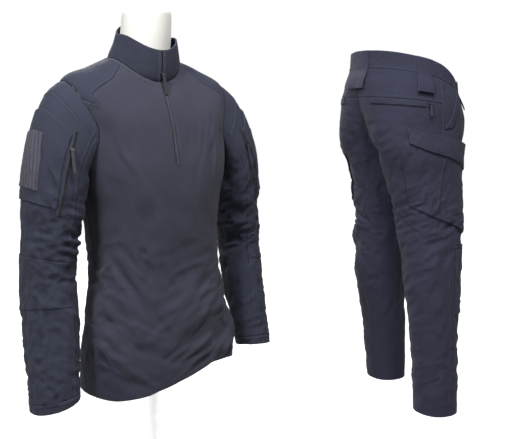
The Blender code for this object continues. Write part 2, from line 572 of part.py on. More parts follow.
def inset(points, facing, cells, columns, gap):
    """Draws the edge points of a panel back from its seams, along the cloth, by gap."""
    moves = {}
    quads = {(i, j) for i, j in cells}
    for i, j in quads:
        ring = [(i, j), (i, (j + 1) % columns), (i + 1, (j + 1) % columns), (i + 1, j)]
        sides = [(i - 1, j), (i, (j + 1) % columns), (i + 1, j), (i, (j - 1) % columns)]
        for n, beside in enumerate(sides):
            if beside in quads:
                continue
            a, b = ring[n], ring[(n + 1) % 4]
            inward = np.cross(facing[a], points[b] - points[a])
            inner = (points[ring[(n + 2) % 4]] + points[ring[(n + 3) % 4]]) / 2
            if np.dot(inward, inner - (points[a] + points[b]) / 2) < 0:
                inward = -inward
            for corner in (a, b):
                moves.setdefault(corner, []).append(unit(inward))
    moved = {}
    for corner, inwards in moves.items():
        total = np.sum(inwards, axis=0)
        share = max(1.0 + float(np.dot(inwards[0], inwards[-1])), 0.35) if len(inwards) > 1 else 1.0
        moved[corner] = total * gap / share
    return moved


def panel(name, points, facing, cells, colour, wall=WALL, lift=0.0, gap=SEAM_GAP / 2):
    """A cloth panel: the cells of a grid, its outer side raised by lift and its wall inwards."""
    outer = points + facing * lift
    inner = points + facing * (lift - wall)
    moves = inset(points, facing, cells, points.shape[1], gap)
    for corner, move in moves.items():
        outer[corner] += move
        inner[corner] += move
    return slab(name, outer, inner, cells, colour)


def start_scene():
    for obj in list(bpy.data.objects):
        bpy.data.objects.remove(obj)
    found = bpy.data.collections.get("training_uniform") or bpy.data.collections.new("training_uniform")
    if found.name not in bpy.context.scene.collection.children:
        bpy.context.scene.collection.children.link(found)


def shirt_lines():
    """The lines round the shirt body, from the centre back, over the right, the front and
    the left: each as a signed place in LINES_BODY."""
    right = [-(n + 1) for n in reversed(range(len(LINES_BODY)))]
    left = [n + 1 for n in range(len(LINES_BODY))]
    return right + left + [len(LINES_BODY) + 1]


def shirt_levels():
    low = np.linspace(0, ARMPIT, 11)
    arm = np.linspace(ARMPIT, SHOULDER, ARM_UP + 1)[1:]
    high = np.linspace(SHOULDER, NECK_SEAM, 6)[1:]
    return np.concatenate([low, arm, high])


def shirt_grid():
    """Points and normals of the shirt body at the crossings of its lines and levels."""
    levels = shirt_levels()
    lines = shirt_lines()
    u = np.empty((len(levels), len(lines)))
    for j, line in enumerate(lines):
        u[:, j] = math.copysign(1, line) * line_angle(abs(line) - 1, levels)
    v = np.repeat(levels[:, None], len(lines), axis=1)
    points = shirt_surface(u, v)
    facing = normals(shirt_surface, u, v, *SHIRT_STEPS)
    return points, facing


def build_shirt_body():
    points, facing = shirt_grid()
    lines, levels = shirt_lines(), shirt_levels()
    columns = len(lines)
    zip_foot = int(np.argmin(np.abs(levels - ZIP_FOOT_LEVEL)))
    arm_low = int(np.argmin(np.abs(levels - ARMPIT)))
    arm_high = int(np.argmin(np.abs(levels - SHOULDER)))
    groups = {}
    for i in range(len(levels) - 1):
        for j in range(columns):
            a, b = lines[j], lines[(j + 1) % columns]
            near = min(abs(a), abs(b)) - 1
            side = "right" if a < 0 else "left"
            if ARM_FIRST <= near < ARM_LAST and arm_low <= i < arm_high:
                continue
            if a == -1 and b == 1 and i >= zip_foot:
                continue
            if i >= arm_high and YOKE_FIRST <= near < YOKE_LAST:
                key = "yoke_" + side
            else:
                key = "shirt_front" if near < SIDE_LINE else "shirt_back"
            groups.setdefault(key, []).append((i, j))
    for key, cells in sorted(groups.items()):
        panel(key, points, facing, cells, "woven" if key.startswith("yoke") else "knit")


def build_collar():
    """The stand collar, and the zip that runs up the front of the shirt and the collar."""
    lines = shirt_lines()
    angles = np.array([math.copysign(1, n) * line_angle(abs(n) - 1, NECK_SEAM) for n in lines])
    u, v = np.meshgrid(angles, COLLAR_LEVELS)
    points, facing = collar(u, v), normals(collar, u, v, *COLLAR_STEPS)
    front = lines.index(-1)
    cells = [(i, j) for i in range(len(COLLAR_LEVELS) - 1) for j in range(len(lines)) if j != front]
    panel("collar", points, facing, cells, "woven", wall=COLLAR_WALL)

    levels = shirt_levels()
    levels = levels[int(np.argmin(np.abs(levels - ZIP_FOOT_LEVEL))) :]
    u = np.stack([np.array([side * line_angle(0, level) for level in levels]) for side in (-1, 1)], axis=-1)
    v = np.repeat(levels[:, None], 2, axis=1)
    low, low_facing = shirt_surface(u, v), normals(shirt_surface, u, v, *SHIRT_STEPS)
    high, high_facing = points[1:, front : front + 2], facing[1:, front : front + 2]
    points, facing = np.concatenate([low, high]), np.concatenate([low_facing, high_facing])
    panel("zip_tape", points, facing, [(i, 0) for i in range(len(points) - 1)], "zip", gap=SEAM_GAP)


def build_form():
    """The torso form inside the shirt: closed rings, from its underside to the top of its neck."""
    turns = np.radians(np.arange(0, 360, 360 / FORM_CELLS))
    rings = []
    for level in FORM_LEVELS:
        u, v = turns, np.full(FORM_CELLS, level)
        points = ring_point(SHIRT_ROWS, u, v)
        facing = normals(lambda p, q: ring_point(SHIRT_ROWS, p, q), u, v, *SHIRT_STEPS)
        points = points - facing * (FORM_CLEARANCE + WALL)
        rings.append(points)
    rings[0][:, 2] = FORM_BOTTOM
    for _, radius, middle, z, tilt in NECK_ROWS:
        x, y = radius * np.sin(turns), middle - radius * np.cos(turns)
        rings.append(np.stack([x, y, z + tilt * (y - middle)], axis=-1))
    points = np.concatenate(rings + [[[0, SHIRT_ROWS[0][2], FORM_BOTTOM], [0, NECK_ROWS[-1][2], FORM_TOP]]])
    count = len(rings)
    faces = []
    for i in range(count - 1):
        for j in range(FORM_CELLS):
            k = (j + 1) % FORM_CELLS
            faces.append([i * FORM_CELLS + j, i * FORM_CELLS + k, (i + 1) * FORM_CELLS + k, (i + 1) * FORM_CELLS + j])
    low, high = count * FORM_CELLS, count * FORM_CELLS + 1
    for j in range(FORM_CELLS):
        k = (j + 1) % FORM_CELLS
        faces.append([low, k, j])
        faces.append([high, (count - 1) * FORM_CELLS + j, (count - 1) * FORM_CELLS + k])
    obj = add_mesh("torso_form", points, faces, "form")
    make_outward(obj.data)


def build_stand():
    """The stand: a round base plate and its pole, up to the underside of the form."""
    turns = np.radians(np.arange(0, 360, 360 / STAND_CELLS))
    points, count = [], STAND_CELLS
    for radius, z in STAND_OUTLINE:
        points += [(radius * math.cos(t), radius * math.sin(t), z) for t in turns]
    faces = [list(range(count))[::-1], list(range((len(STAND_OUTLINE) - 1) * count, len(STAND_OUTLINE) * count))]
    for i in range(len(STAND_OUTLINE) - 1):
        for j in range(count):
            k = (j + 1) % count
            faces.append([i * count + j, i * count + k, (i + 1) * count + k, (i + 1) * count + j])
    obj = add_mesh("stand", points, faces, "metal")
    make_outward(obj.data)


def sleeve_grid(side, places, rings):
    u, v = np.meshgrid(places, rings)

    def surface(place, ring):
        return sleeve(side, place, ring)

    points = surface(u, v)
    facing = normals(surface, u, v, *SLEEVE_STEPS) * -SIDES[side]
    return points, facing


def build_sleeve(side):
    rings = np.arange(0, CAP_RINGS + TUBE_RINGS + 1, dtype=float)
    rings[0] = ARMHOLE_GAP_RING
    points, facing = sleeve_grid(side, np.arange(ARM_CELLS, dtype=float), rings)
    groups = {"sleeve_cap": [], "sleeve_top": [], "sleeve_under": [], "cuff": []}
    for i in range(len(rings) - 1):
        for j in range(ARM_CELLS):
            outer = ARM_FRONT <= j < ARM_BACK
            if i >= CAP_RINGS + TUBE_RINGS - 1:
                key = "cuff"
            elif i < CAP_SEAM_RING and outer:
                key = "sleeve_cap"
            else:
                key = "sleeve_top" if outer else "sleeve_under"
            groups[key].append((i, j))
    for key, cells in groups.items():
        panel(f"{key}_{side}", points, facing, cells, "woven")
    for name, lift, thick, colour, places, rows in SLEEVE_LAYERS:
        lattice_layer(f"{name}_{side}", points, facing, places, rows, lift, thick, colour)


def lattice_layer(name, points, facing, columns, rows, lift, thick, colour):
    """A piece that lies on a panel, made from the panel's own points moved out."""
    (first, last), (low, high) = columns, rows
    points, facing = points[low : high + 1, first : last + 1], facing[low : high + 1, first : last + 1]
    up = np.linspace(0, 1, high - low + 1)[:, None, None]
    across = np.linspace(0, 1, last - first + 1)[None, :, None]
    if isinstance(lift, tuple):
        lift = np.interp(up, np.linspace(0, 1, len(lift)), lift)
    if isinstance(thick, tuple):
        thick = np.interp(across, np.linspace(0, 1, len(thick)), thick)
    cells = [(i, j) for i in range(high - low) for j in range(last - first)]
    panel(name, points, facing, cells, colour, wall=thick, lift=lift + thick, gap=SEAM_GAP)


def layer(name, surface, steps, sign, corners, counts, lift, thick, colour, place=None, turn=None):
    """A piece that lies on a panel: a grid between four corners, moved out by lift. thick
    is a number, or a list of thicknesses from the first edge to the last."""
    (u0, v0), (u1, v1), (u2, v2), (u3, v3) = corners
    across, up = np.meshgrid(np.linspace(0, 1, counts[0] + 1), np.linspace(0, 1, counts[1] + 1))
    u = (1 - up) * ((1 - across) * u0 + across * u1) + up * ((1 - across) * u3 + across * u2)
    v = (1 - up) * ((1 - across) * v0 + across * v1) + up * ((1 - across) * v3 + across * v2)
    points, facing = surface(u, v), normals(surface, u, v, *steps) * sign
    if isinstance(thick, tuple):
        thick = np.interp(across, np.linspace(0, 1, len(thick)), thick)[..., None]
    if isinstance(lift, tuple):
        lift = np.interp(up, np.linspace(0, 1, len(lift)), lift)[..., None]
    if place:
        points, facing = place(points), turn(facing)
    inner, outer = points + facing * lift, points + facing * (lift + thick)
    cells = [(i, j) for i in range(counts[1]) for j in range(counts[0])]
    return slab(name, outer, inner, cells, colour)


def turned(vectors):
    c, s = math.cos(TROUSER_YAW), math.sin(TROUSER_YAW)
    x, y = vectors[..., 0], vectors[..., 1]
    return np.stack([c * x - s * y, s * x + c * y, vectors[..., 2]], axis=-1)


def leg_grid(side, turns, heights):
    u, v = np.meshgrid(turns, heights)

    def surface(turn, z):
        return leg(side, turn, z)

    points = surface(u, v)
    facing = normals(surface, u, v, *LEG_STEPS) * SIDES[side]
    return to_world(points), turned(facing)


def build_leg(side):
    heights = LEG_HEIGHTS
    yoke = int(np.argmin(np.abs(heights - YOKE_Z)))
    last = int(np.argmin(np.abs(heights - WAIST_SEAM_Z)))
    for half, turns in (("front", FRONT_TURNS), ("back", BACK_TURNS)):
        points, facing = leg_grid(side, turns, heights)
        top = last if half == "front" else yoke
        count = len(turns) - 1
        cells = [(i, j) for i in range(top) for j in range(count)]
        panel(f"leg_{half}_{side}", points, facing, cells, "trouser")
        if half == "back":
            cells = [(i, j) for i in range(yoke, last) for j in range(count)]
            panel(f"back_yoke_{side}", points, facing, cells, "trouser")
        for name, lift, thick, colour, place, lines, rows in LEG_LAYERS:
            if place == half:
                lattice_layer(f"{name}_{side}", points, facing, lines, rows, lift, thick, colour)
    for name, lift, thick, colour, counts, corners in SLANTED_LAYERS:
        layer(f"{name}_{side}", lambda u, v: leg(side, u, v), LEG_STEPS, SIDES[side], corners, counts, lift, thick, colour, to_world, turned)


def waist(place, z):
    """A point of the waist: place runs from 0 at the centre front, over the left side at 1,
    the centre back at 2 and the right side at 3, to 4, where it starts again."""
    place = np.mod(place, 4)
    left = leg("left", place - 1, z)
    right = leg("right", 3 - place, z)
    return np.where((place <= 2)[..., None], left, right)


def build_waistband():
    left = [1 + turn for turn in FRONT_TURNS + BACK_TURNS[1:]]
    right = [3 - turn for turn in reversed(FRONT_TURNS + BACK_TURNS[1:])]
    lines = sorted({round(line, 3) for line in left + right + [4 + line for line in left]})
    for name, first, last in WAISTBAND:
        places = [line for line in lines if first - 0.001 < line < last + 0.001]
        u, v = np.meshgrid(places, BAND_HEIGHTS)
        points = to_world(waist(u, v))
        facing = turned(normals(waist, u, v, *LEG_STEPS))
        cells = [(i, j) for i in range(len(BAND_HEIGHTS) - 1) for j in range(len(places) - 1)]
        panel(name, points, facing, cells, "trouser", wall=BAND_WALL)


def build_centre_loop():
    """The belt loop over the seam at the centre back, like the other back loops."""
    lift, thick, colour, _, _, rows = next(layer[1:] for layer in LEG_LAYERS if layer[0] == "belt_loop_back")
    u, v = np.meshgrid(CENTRE_LOOP, LEG_HEIGHTS[rows[0] : rows[1] + 1])
    points, facing = to_world(waist(u, v)), turned(normals(waist, u, v, *LEG_STEPS))
    lattice_layer("belt_loop_centre", points, facing, (0, len(CENTRE_LOOP) - 1), (0, rows[1] - rows[0]), lift, thick, colour)


def block(name, colour, points, faces, frame):
    origin, across, out, up = frame
    points = np.asarray(points, float) / 1000
    world = origin + points[:, :1] * across + points[:, 1:2] * out + points[:, 2:] * up
    obj = add_mesh(name, world, faces, colour)
    make_outward(obj.data)
    return obj


def prism(profile, half):
    """Points and faces of a profile (y, z) drawn out along x to both sides; millimetres."""
    count = len(profile)
    points = [(-half, y, z) for y, z in profile] + [(half, y, z) for y, z in profile]
    faces = [list(range(count))[::-1], list(range(count, 2 * count))]
    faces += [[j, (j + 1) % count, count + (j + 1) % count, count + j] for j in range(count)]
    return points, faces


def circle(y, z, radius, cells=10, first=0.0, last=360.0):
    """Points of an arc in the (y, z) plane."""
    turns = np.radians(np.linspace(first, last, cells, endpoint=last - first < 360))
    return [(y + radius * math.sin(t), z + radius * math.cos(t)) for t in turns]


def build_slider(name, frame):
    """A zip slider: a flat body, two ears, and the pin that the pull hangs from."""
    low, high = SLIDER_LOW, SLIDER_HIGH
    body = [(low, -6), (high, -6), (high, 6), (low, 6)]
    ear = [(high - 0.5, -2.2), (PIN_OUT + 1.4, -1.4), (PIN_OUT + 1.4, 1.4), (high - 0.5, 2.2)]
    pieces = [block(name, "zip", *prism(body, EAR_OUT), frame)]
    for side in (-1, 1):
        points, faces = prism(ear, (EAR_OUT - EAR_IN) / 2)
        points = [(x + side * (EAR_OUT + EAR_IN) / 2, y, z) for x, y, z in points]
        pieces.append(block("ear", "zip", points, faces, frame))
    pieces.append(block("pin", "zip", *prism(circle(PIN_OUT, 0, PIN_RADIUS), (EAR_OUT + EAR_IN) / 2), frame))
    return united(pieces)


def united(pieces):
    """Joins solids that overlap into the first of them."""
    target = pieces[0]
    for other in pieces[1:]:
        join = target.modifiers.new("join", "BOOLEAN")
        join.operation, join.solver, join.object = "UNION", "EXACT", other
        graph = bpy.context.evaluated_depsgraph_get()
        mesh = bpy.data.meshes.new_from_object(target.evaluated_get(graph))
        target.modifiers.remove(join)
        target.data = mesh
        bpy.data.objects.remove(other)
    return target


def build_pull(name, frame, length):
    """A zip pull: a loop round the pin and a flat tab, drawn across to the same width."""
    half = TAB_THICK / 2
    start = math.degrees(math.asin(half / LOOP_OUT))
    outer = circle(PIN_OUT, 0, LOOP_OUT, 12, 180 + start, 540 - start)
    plate_in = [(PIN_OUT + half, -length + 1.0), (PIN_OUT + half - 0.5, -length)]
    plate_out = [(PIN_OUT - half + 0.5, -length), (PIN_OUT - half, -length + 1.0)]
    profile = outer + plate_in + plate_out
    solid = block(name, "pull", *prism(profile, TAB_HALF), frame)
    hole = block("hole", "pull", *prism(circle(PIN_OUT, 0, LOOP_IN), TAB_HALF + 1), frame)
    cut = solid.modifiers.new("cut", "BOOLEAN")
    cut.operation, cut.solver, cut.object = "DIFFERENCE", "EXACT", hole
    graph = bpy.context.evaluated_depsgraph_get()
    mesh = bpy.data.meshes.new_from_object(solid.evaluated_get(graph))
    solid.modifiers.remove(cut)
    solid.data = mesh
    bpy.data.objects.remove(hole)
    return solid


def pull_frame(surface, u, v, steps, sign, lift, lean, place=None, turn=None):
    """Where a slider sits: its middle, and its directions across, out and up. lean is how
    far, in degrees, its foot stands off the line of the cloth."""
    at = (np.array([u]), np.array([v]))
    point, out = surface(*at), normals(surface, *at, *steps) * sign
    if place:
        point, out = place(point), turn(out)
    point, out = point[0] + out[0] * lift, out[0]
    up = unit(np.array([0.0, 0.0, 1.0]) - out * out[2])
    across = np.cross(out, up)
    tilt = math.radians(lean)
    return point, across, out * math.cos(tilt) + up * math.sin(tilt), up * math.cos(tilt) - out * math.sin(tilt)


def build_zips():
    for name, (garment, side, u, v, lift, lean, length) in ZIPS.items():
        if garment == "collar":
            frame = pull_frame(collar, u, v, COLLAR_STEPS, 1.0, lift, lean)
        elif garment == "sleeve":
            frame = pull_frame(lambda a, b: sleeve(side, a, b), u, v, SLEEVE_STEPS, -SIDES[side], lift, lean)
        else:
            frame = pull_frame(lambda a, b: leg(side, a, b), u, v, LEG_STEPS, SIDES[side], lift, lean, to_world, turned)
        build_slider(name + "_slider", frame)
        build_pull(name + "_pull", frame, length)


def build_small_pieces():
    for side, sign in SIDES.items():
        corners = [(math.radians(u) * sign, v) for u, v in SIDE_PANEL]
        layer(f"side_panel_{side}", shirt_surface, SHIRT_STEPS, 1.0, corners, (10, 6), PANEL_LIFT, 0.0014, "woven")
    at = pull_frame(lambda a, b: leg("left", a, b), BUTTON[0], BUTTON[1], LEG_STEPS, 1.0, LAY_GAP, 0.0, to_world, turned)
    turns = np.radians(np.arange(0, 360, 360 / BUTTON_SIDES))
    disc = [(BUTTON_RADIUS * math.cos(t), 0.0, BUTTON_RADIUS * math.sin(t)) for t in turns]
    points = disc + [(x, BUTTON_THICK, z) for x, _, z in disc]
    count = BUTTON_SIDES
    faces = [list(range(count)), list(range(count, 2 * count))[::-1]]
    faces += [[j, (j + 1) % count, count + (j + 1) % count, count + j] for j in range(count)]
    block("waist_button", "zip", points, faces, at)


def build():
    start_scene()
    build_form()
    build_stand()
    build_shirt_body()
    build_collar()
    for side in SIDES:
        build_sleeve(side)
        build_leg(side)
    build_waistband()
    build_centre_loop()
    build_small_pieces()
    build_zips()


build()
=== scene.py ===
"""Looks for a training uniform: a quarter-zip shirt on a torso form with its stand, and
cargo trousers that stand filled out beside it. The cloth follows the same tables as the
solids, with finer points, creases, seams and stitching. Metres, +Z up; the shirt faces -Y."""

import json
import math

import bmesh
import bpy
import numpy as np
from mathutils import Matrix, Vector

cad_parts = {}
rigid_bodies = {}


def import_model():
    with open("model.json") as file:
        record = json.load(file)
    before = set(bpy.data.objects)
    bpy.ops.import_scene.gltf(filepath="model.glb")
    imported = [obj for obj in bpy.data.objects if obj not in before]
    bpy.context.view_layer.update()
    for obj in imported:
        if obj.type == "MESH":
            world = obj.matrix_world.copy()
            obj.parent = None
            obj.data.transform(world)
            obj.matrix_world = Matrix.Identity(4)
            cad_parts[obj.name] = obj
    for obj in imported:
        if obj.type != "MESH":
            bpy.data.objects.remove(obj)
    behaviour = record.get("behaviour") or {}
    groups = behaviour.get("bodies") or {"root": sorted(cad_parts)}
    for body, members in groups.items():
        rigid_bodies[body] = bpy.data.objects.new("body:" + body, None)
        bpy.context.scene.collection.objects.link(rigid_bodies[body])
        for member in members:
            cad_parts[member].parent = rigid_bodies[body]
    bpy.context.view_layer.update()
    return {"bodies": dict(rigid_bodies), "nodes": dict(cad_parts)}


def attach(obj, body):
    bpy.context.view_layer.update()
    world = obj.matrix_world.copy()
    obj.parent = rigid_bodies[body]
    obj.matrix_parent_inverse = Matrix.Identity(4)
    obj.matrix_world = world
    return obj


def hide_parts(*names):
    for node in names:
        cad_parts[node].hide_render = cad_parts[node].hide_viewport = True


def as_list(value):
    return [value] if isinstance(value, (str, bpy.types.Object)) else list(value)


# Driving sizes
WALL = 0.002  # thickness of the cloth
SEAM_GAP = 0.0009  # between two pieces that meet at a seam
LAY_GAP = 0.0004  # under a piece that lies on another
FORM_CLEARANCE = 0.009  # between the shirt and the torso form inside it
TROUSER_SPOT = (0.864, 0.010)  # where the trousers stand
TROUSER_YAW = math.radians(77.0)  # turn of the trousers about +Z, away from facing -Y
BASE_RADIUS = 0.135
BASE_THICKNESS = 0.012
POLE_RADIUS = 0.0125
FORM_BOTTOM = 0.318  # underside of the torso form

# Shirt body, from the hem up to the seam of the collar. A row is a ring round the body.
SHIRT_COLUMNS = ("half_width", "middle", "front", "back", "z_side", "z_front", "z_back", "square")
SHIRT_ROWS = (
    # name, then the columns above; the ring's front and back are its y, in metres
    ("hem", 0.176, -0.022, -0.158, 0.112, 0.240, 0.236, 0.232, 2.3),
    ("hip", 0.174, -0.024, -0.157, 0.108, 0.315, 0.312, 0.312, 2.3),
    ("high_hip", 0.163, -0.025, -0.148, 0.098, 0.400, 0.398, 0.400, 2.3),
    ("waist", 0.148, -0.018, -0.131, 0.096, 0.500, 0.498, 0.500, 2.3),
    ("ribs", 0.153, -0.010, -0.127, 0.108, 0.610, 0.606, 0.612, 2.3),
    ("armpit", 0.176, -0.002, -0.124, 0.122, 0.735, 0.712, 0.735, 2.4),
    ("chest", 0.184, 0.004, -0.112, 0.122, 0.825, 0.770, 0.815, 2.4),
    ("shoulder", 0.192, 0.010, -0.098, 0.116, 0.905, 0.825, 0.880, 2.3),
    ("trapezius", 0.128, 0.013, -0.078, 0.102, 0.938, 0.872, 0.930, 2.2),
    ("neck_seam", 0.080, 0.012, -0.057, 0.084, 0.956, 0.905, 0.966, 2.1),
)
# How far the hem rides up, by the angle round the body from the centre front
HEM_LIFTS = (
    (-180.0, 0.010),
    (-120.0, 0.002),
    (-60.0, 0.003),
    (-30.0, 0.016),
    (-12.0, 0.033),
    (0.0, 0.046),
    (15.0, 0.058),
    (35.0, 0.055),
    (60.0, 0.038),
    (90.0, 0.028),
    (135.0, 0.030),
    (180.0, 0.010),
)
HEM_LIFT_LEVELS = 2.6  # rows of the table above the hem over which the lift fades
ARMPIT, SHOULDER, NECK_SEAM = 5, 7, 9  # places of those rows in the table

# Steps over which each surface's normals are read
SHIRT_STEPS, SLEEVE_STEPS, LEG_STEPS = (0.004, 0.01), (0.05, 0.05), (0.01, 0.002)

# Lines down the shirt body, as degrees from the centre front to the centre back, on each
# side. The second row is where the same lines meet the seam of the collar.
LINES_BODY = (0.75, 10.0, 21.0, 32.0, 43.5, 55.0, 72.5, 90.0, 107.5, 125.0, 138.0, 152.0, 166.0)
LINES_NECK = (2.4, 17.0, 32.0, 48.0, 63.0, 72.0, 81.0, 90.0, 99.0, 108.0, 124.0, 142.0, 161.0)
ARM_FIRST, ARM_LAST = 5, 9  # the lines at the front and back of the armhole
YOKE_FIRST, YOKE_LAST = 4, 11  # the lines that bound the shoulder yoke
ARM_HALF_TURN = math.radians(35.0)  # from the side line to the front of the armhole
ARM_SPREAD = 1.3  # how far round the armhole its curve still bends the lines, in half heights

# Collar, from its seam to its top edge
COLLAR_ROWS = (
    ("seam", 0.080, 0.012, -0.057, 0.084, 0.956, 0.905, 0.966, 2.1),
    ("fold", 0.0775, 0.009, -0.0605, 0.081, 0.966, 0.917, 0.975, 2.1),
    ("middle", 0.0715, 0.003, -0.0625, 0.070, 0.985, 0.943, 0.999, 2.1),
    ("top", 0.0665, -0.002, -0.0625, 0.060, 1.006, 0.972, 1.036, 2.1),
)

# The form's neck: name, radius, middle y, z, forward tilt of the ring
NECK_ROWS = (
    ("base", 0.0600, 0.012, 0.962, 0.36),
    ("low", 0.0560, 0.007, 0.985, 0.28),
    ("mid", 0.0545, 0.001, 1.015, 0.16),
    ("high", 0.0535, -0.003, 1.045, 0.05),
    ("edge", 0.0515, -0.004, 1.055, 0.00),
    ("cap", 0.0450, -0.004, 1.059, 0.00),
)

# Sleeves: a row is a ring across the arm. long is half its size from front to back, thin
# half its size from side to side, yaw the turn of its front towards the body in degrees.
SLEEVE_COLUMNS = ("out", "y", "z", "long", "thin", "yaw", "dip")
SLEEVES = {
    "right": (
        ("biceps", 0.2260, -0.004, 0.690, 0.0735, 0.0530, 12, 0.040),
        ("upper", 0.2350, 0.002, 0.620, 0.0700, 0.0520, 14, 0.020),
        ("elbow", 0.2440, 0.006, 0.505, 0.0650, 0.0475, 17, 0.008),
        ("forearm", 0.2490, -0.010, 0.405, 0.0650, 0.0475, 22, 0.004),
        ("wrist", 0.2590, -0.036, 0.296, 0.0580, 0.0410, 28, 0.002),
        ("cuff", 0.2630, -0.048, 0.250, 0.0560, 0.0395, 31, -0.040),
    ),
    "left": (
        ("biceps", 0.2370, 0.000, 0.690, 0.0735, 0.0510, 12, 0.040),
        ("upper", 0.2500, 0.010, 0.620, 0.0700, 0.0510, 14, 0.020),
        ("elbow", 0.2610, 0.016, 0.525, 0.0660, 0.0475, 17, 0.010),
        ("forearm", 0.2560, -0.010, 0.440, 0.0650, 0.0475, 22, 0.006),
        ("wrist", 0.2510, -0.040, 0.345, 0.0590, 0.0430, 28, 0.004),
        ("cuff", 0.2515, -0.058, 0.280, 0.0565, 0.0405, 31, -0.010),
    ),
}
# The largest folds: name, the two ends, the half width, and the height out of the cloth
# (a hollow where it is less than 0)
SHIRT_FOLDS = (
    ("right_armhole", -0.150, -0.095, 0.800, -0.125, -0.125, 0.640, 0.020, -0.0070),
    ("right_chest", -0.115, -0.120, 0.800, -0.090, -0.125, 0.660, 0.022, 0.0045),
    ("left_armhole", 0.150, -0.095, 0.790, 0.135, -0.115, 0.660, 0.020, -0.0060),
    ("right_hip", -0.150, -0.085, 0.410, -0.100, -0.150, 0.330, 0.016, -0.0055),
    ("right_hip_low", -0.165, -0.075, 0.360, -0.115, -0.145, 0.300, 0.014, 0.0050),
    ("left_hip", 0.165, -0.070, 0.430, 0.090, -0.150, 0.350, 0.018, -0.0060),
    ("left_hip_low", 0.175, -0.060, 0.380, 0.110, -0.150, 0.310, 0.016, 0.0055),
    ("back_right", -0.120, 0.095, 0.560, -0.030, 0.105, 0.500, 0.020, -0.0055),
    ("back_left", 0.125, 0.095, 0.570, 0.035, 0.105, 0.515, 0.020, -0.0055),
    ("back_blade_right", -0.110, 0.125, 0.740, -0.150, 0.100, 0.840, 0.022, -0.0050),
    ("back_blade_left", 0.110, 0.125, 0.740, 0.150, 0.100, 0.840, 0.022, -0.0050),
)
# of the right sleeve; the left one has them mirrored
SLEEVE_FOLDS = (
    ("elbow", -0.290, -0.020, 0.622, -0.200, -0.055, 0.598, 0.016, -0.0065),
    ("above_elbow", -0.290, -0.020, 0.655, -0.205, -0.060, 0.640, 0.017, 0.0045),
    ("below_elbow", -0.300, -0.010, 0.560, -0.205, -0.050, 0.580, 0.017, 0.0050),
    ("inner_elbow", -0.190, -0.020, 0.560, -0.235, -0.070, 0.520, 0.016, -0.0050),
    ("forearm", -0.300, -0.010, 0.380, -0.240, -0.075, 0.345, 0.018, -0.0045),
    ("back_arm", -0.290, 0.045, 0.600, -0.215, 0.070, 0.560, 0.018, -0.0050),
)
# of the right leg, in the frame of the trousers; the left one has them mirrored, and
# moved along y by the difference between the legs
LEG_FOLDS = (
    ("behind_knee", -0.082, 0.046, 0.560, -0.180, 0.027, 0.480, 0.018, -0.0080),
    ("behind_knee_low", -0.089, 0.044, 0.500, -0.192, 0.028, 0.430, 0.017, 0.0060),
    ("calf", -0.101, 0.054, 0.440, -0.199, 0.023, 0.360, 0.020, -0.0065),
    ("thigh_inner", -0.031, 0.064, 0.690, -0.062, 0.061, 0.590, 0.018, -0.0065),
    ("seat", -0.037, 0.107, 0.740, -0.131, 0.084, 0.690, 0.022, -0.0065),
    ("above_knee", -0.062, -0.097, 0.600, -0.162, -0.109, 0.560, 0.018, -0.0060),
    ("shin", -0.122, -0.084, 0.270, -0.209, -0.066, 0.230, 0.018, -0.0050),
    ("hem", -0.137, 0.048, 0.130, -0.229, 0.026, 0.090, 0.018, -0.0050),
)
SIDES = {"right": -1.0, "left": 1.0}
ARM_ACROSS, ARM_UP = 4, 6  # cells along the top or bottom, and up the front or back, of an armhole
ARM_CELLS = 2 * (ARM_ACROSS + ARM_UP)  # cells round a sleeve
ARM_FRONT, ARM_BACK = 5, 15  # the places round a sleeve of its front and back seams
CAP_RINGS = 5  # from the armhole to the first ring of the table
TUBE_RINGS = 15

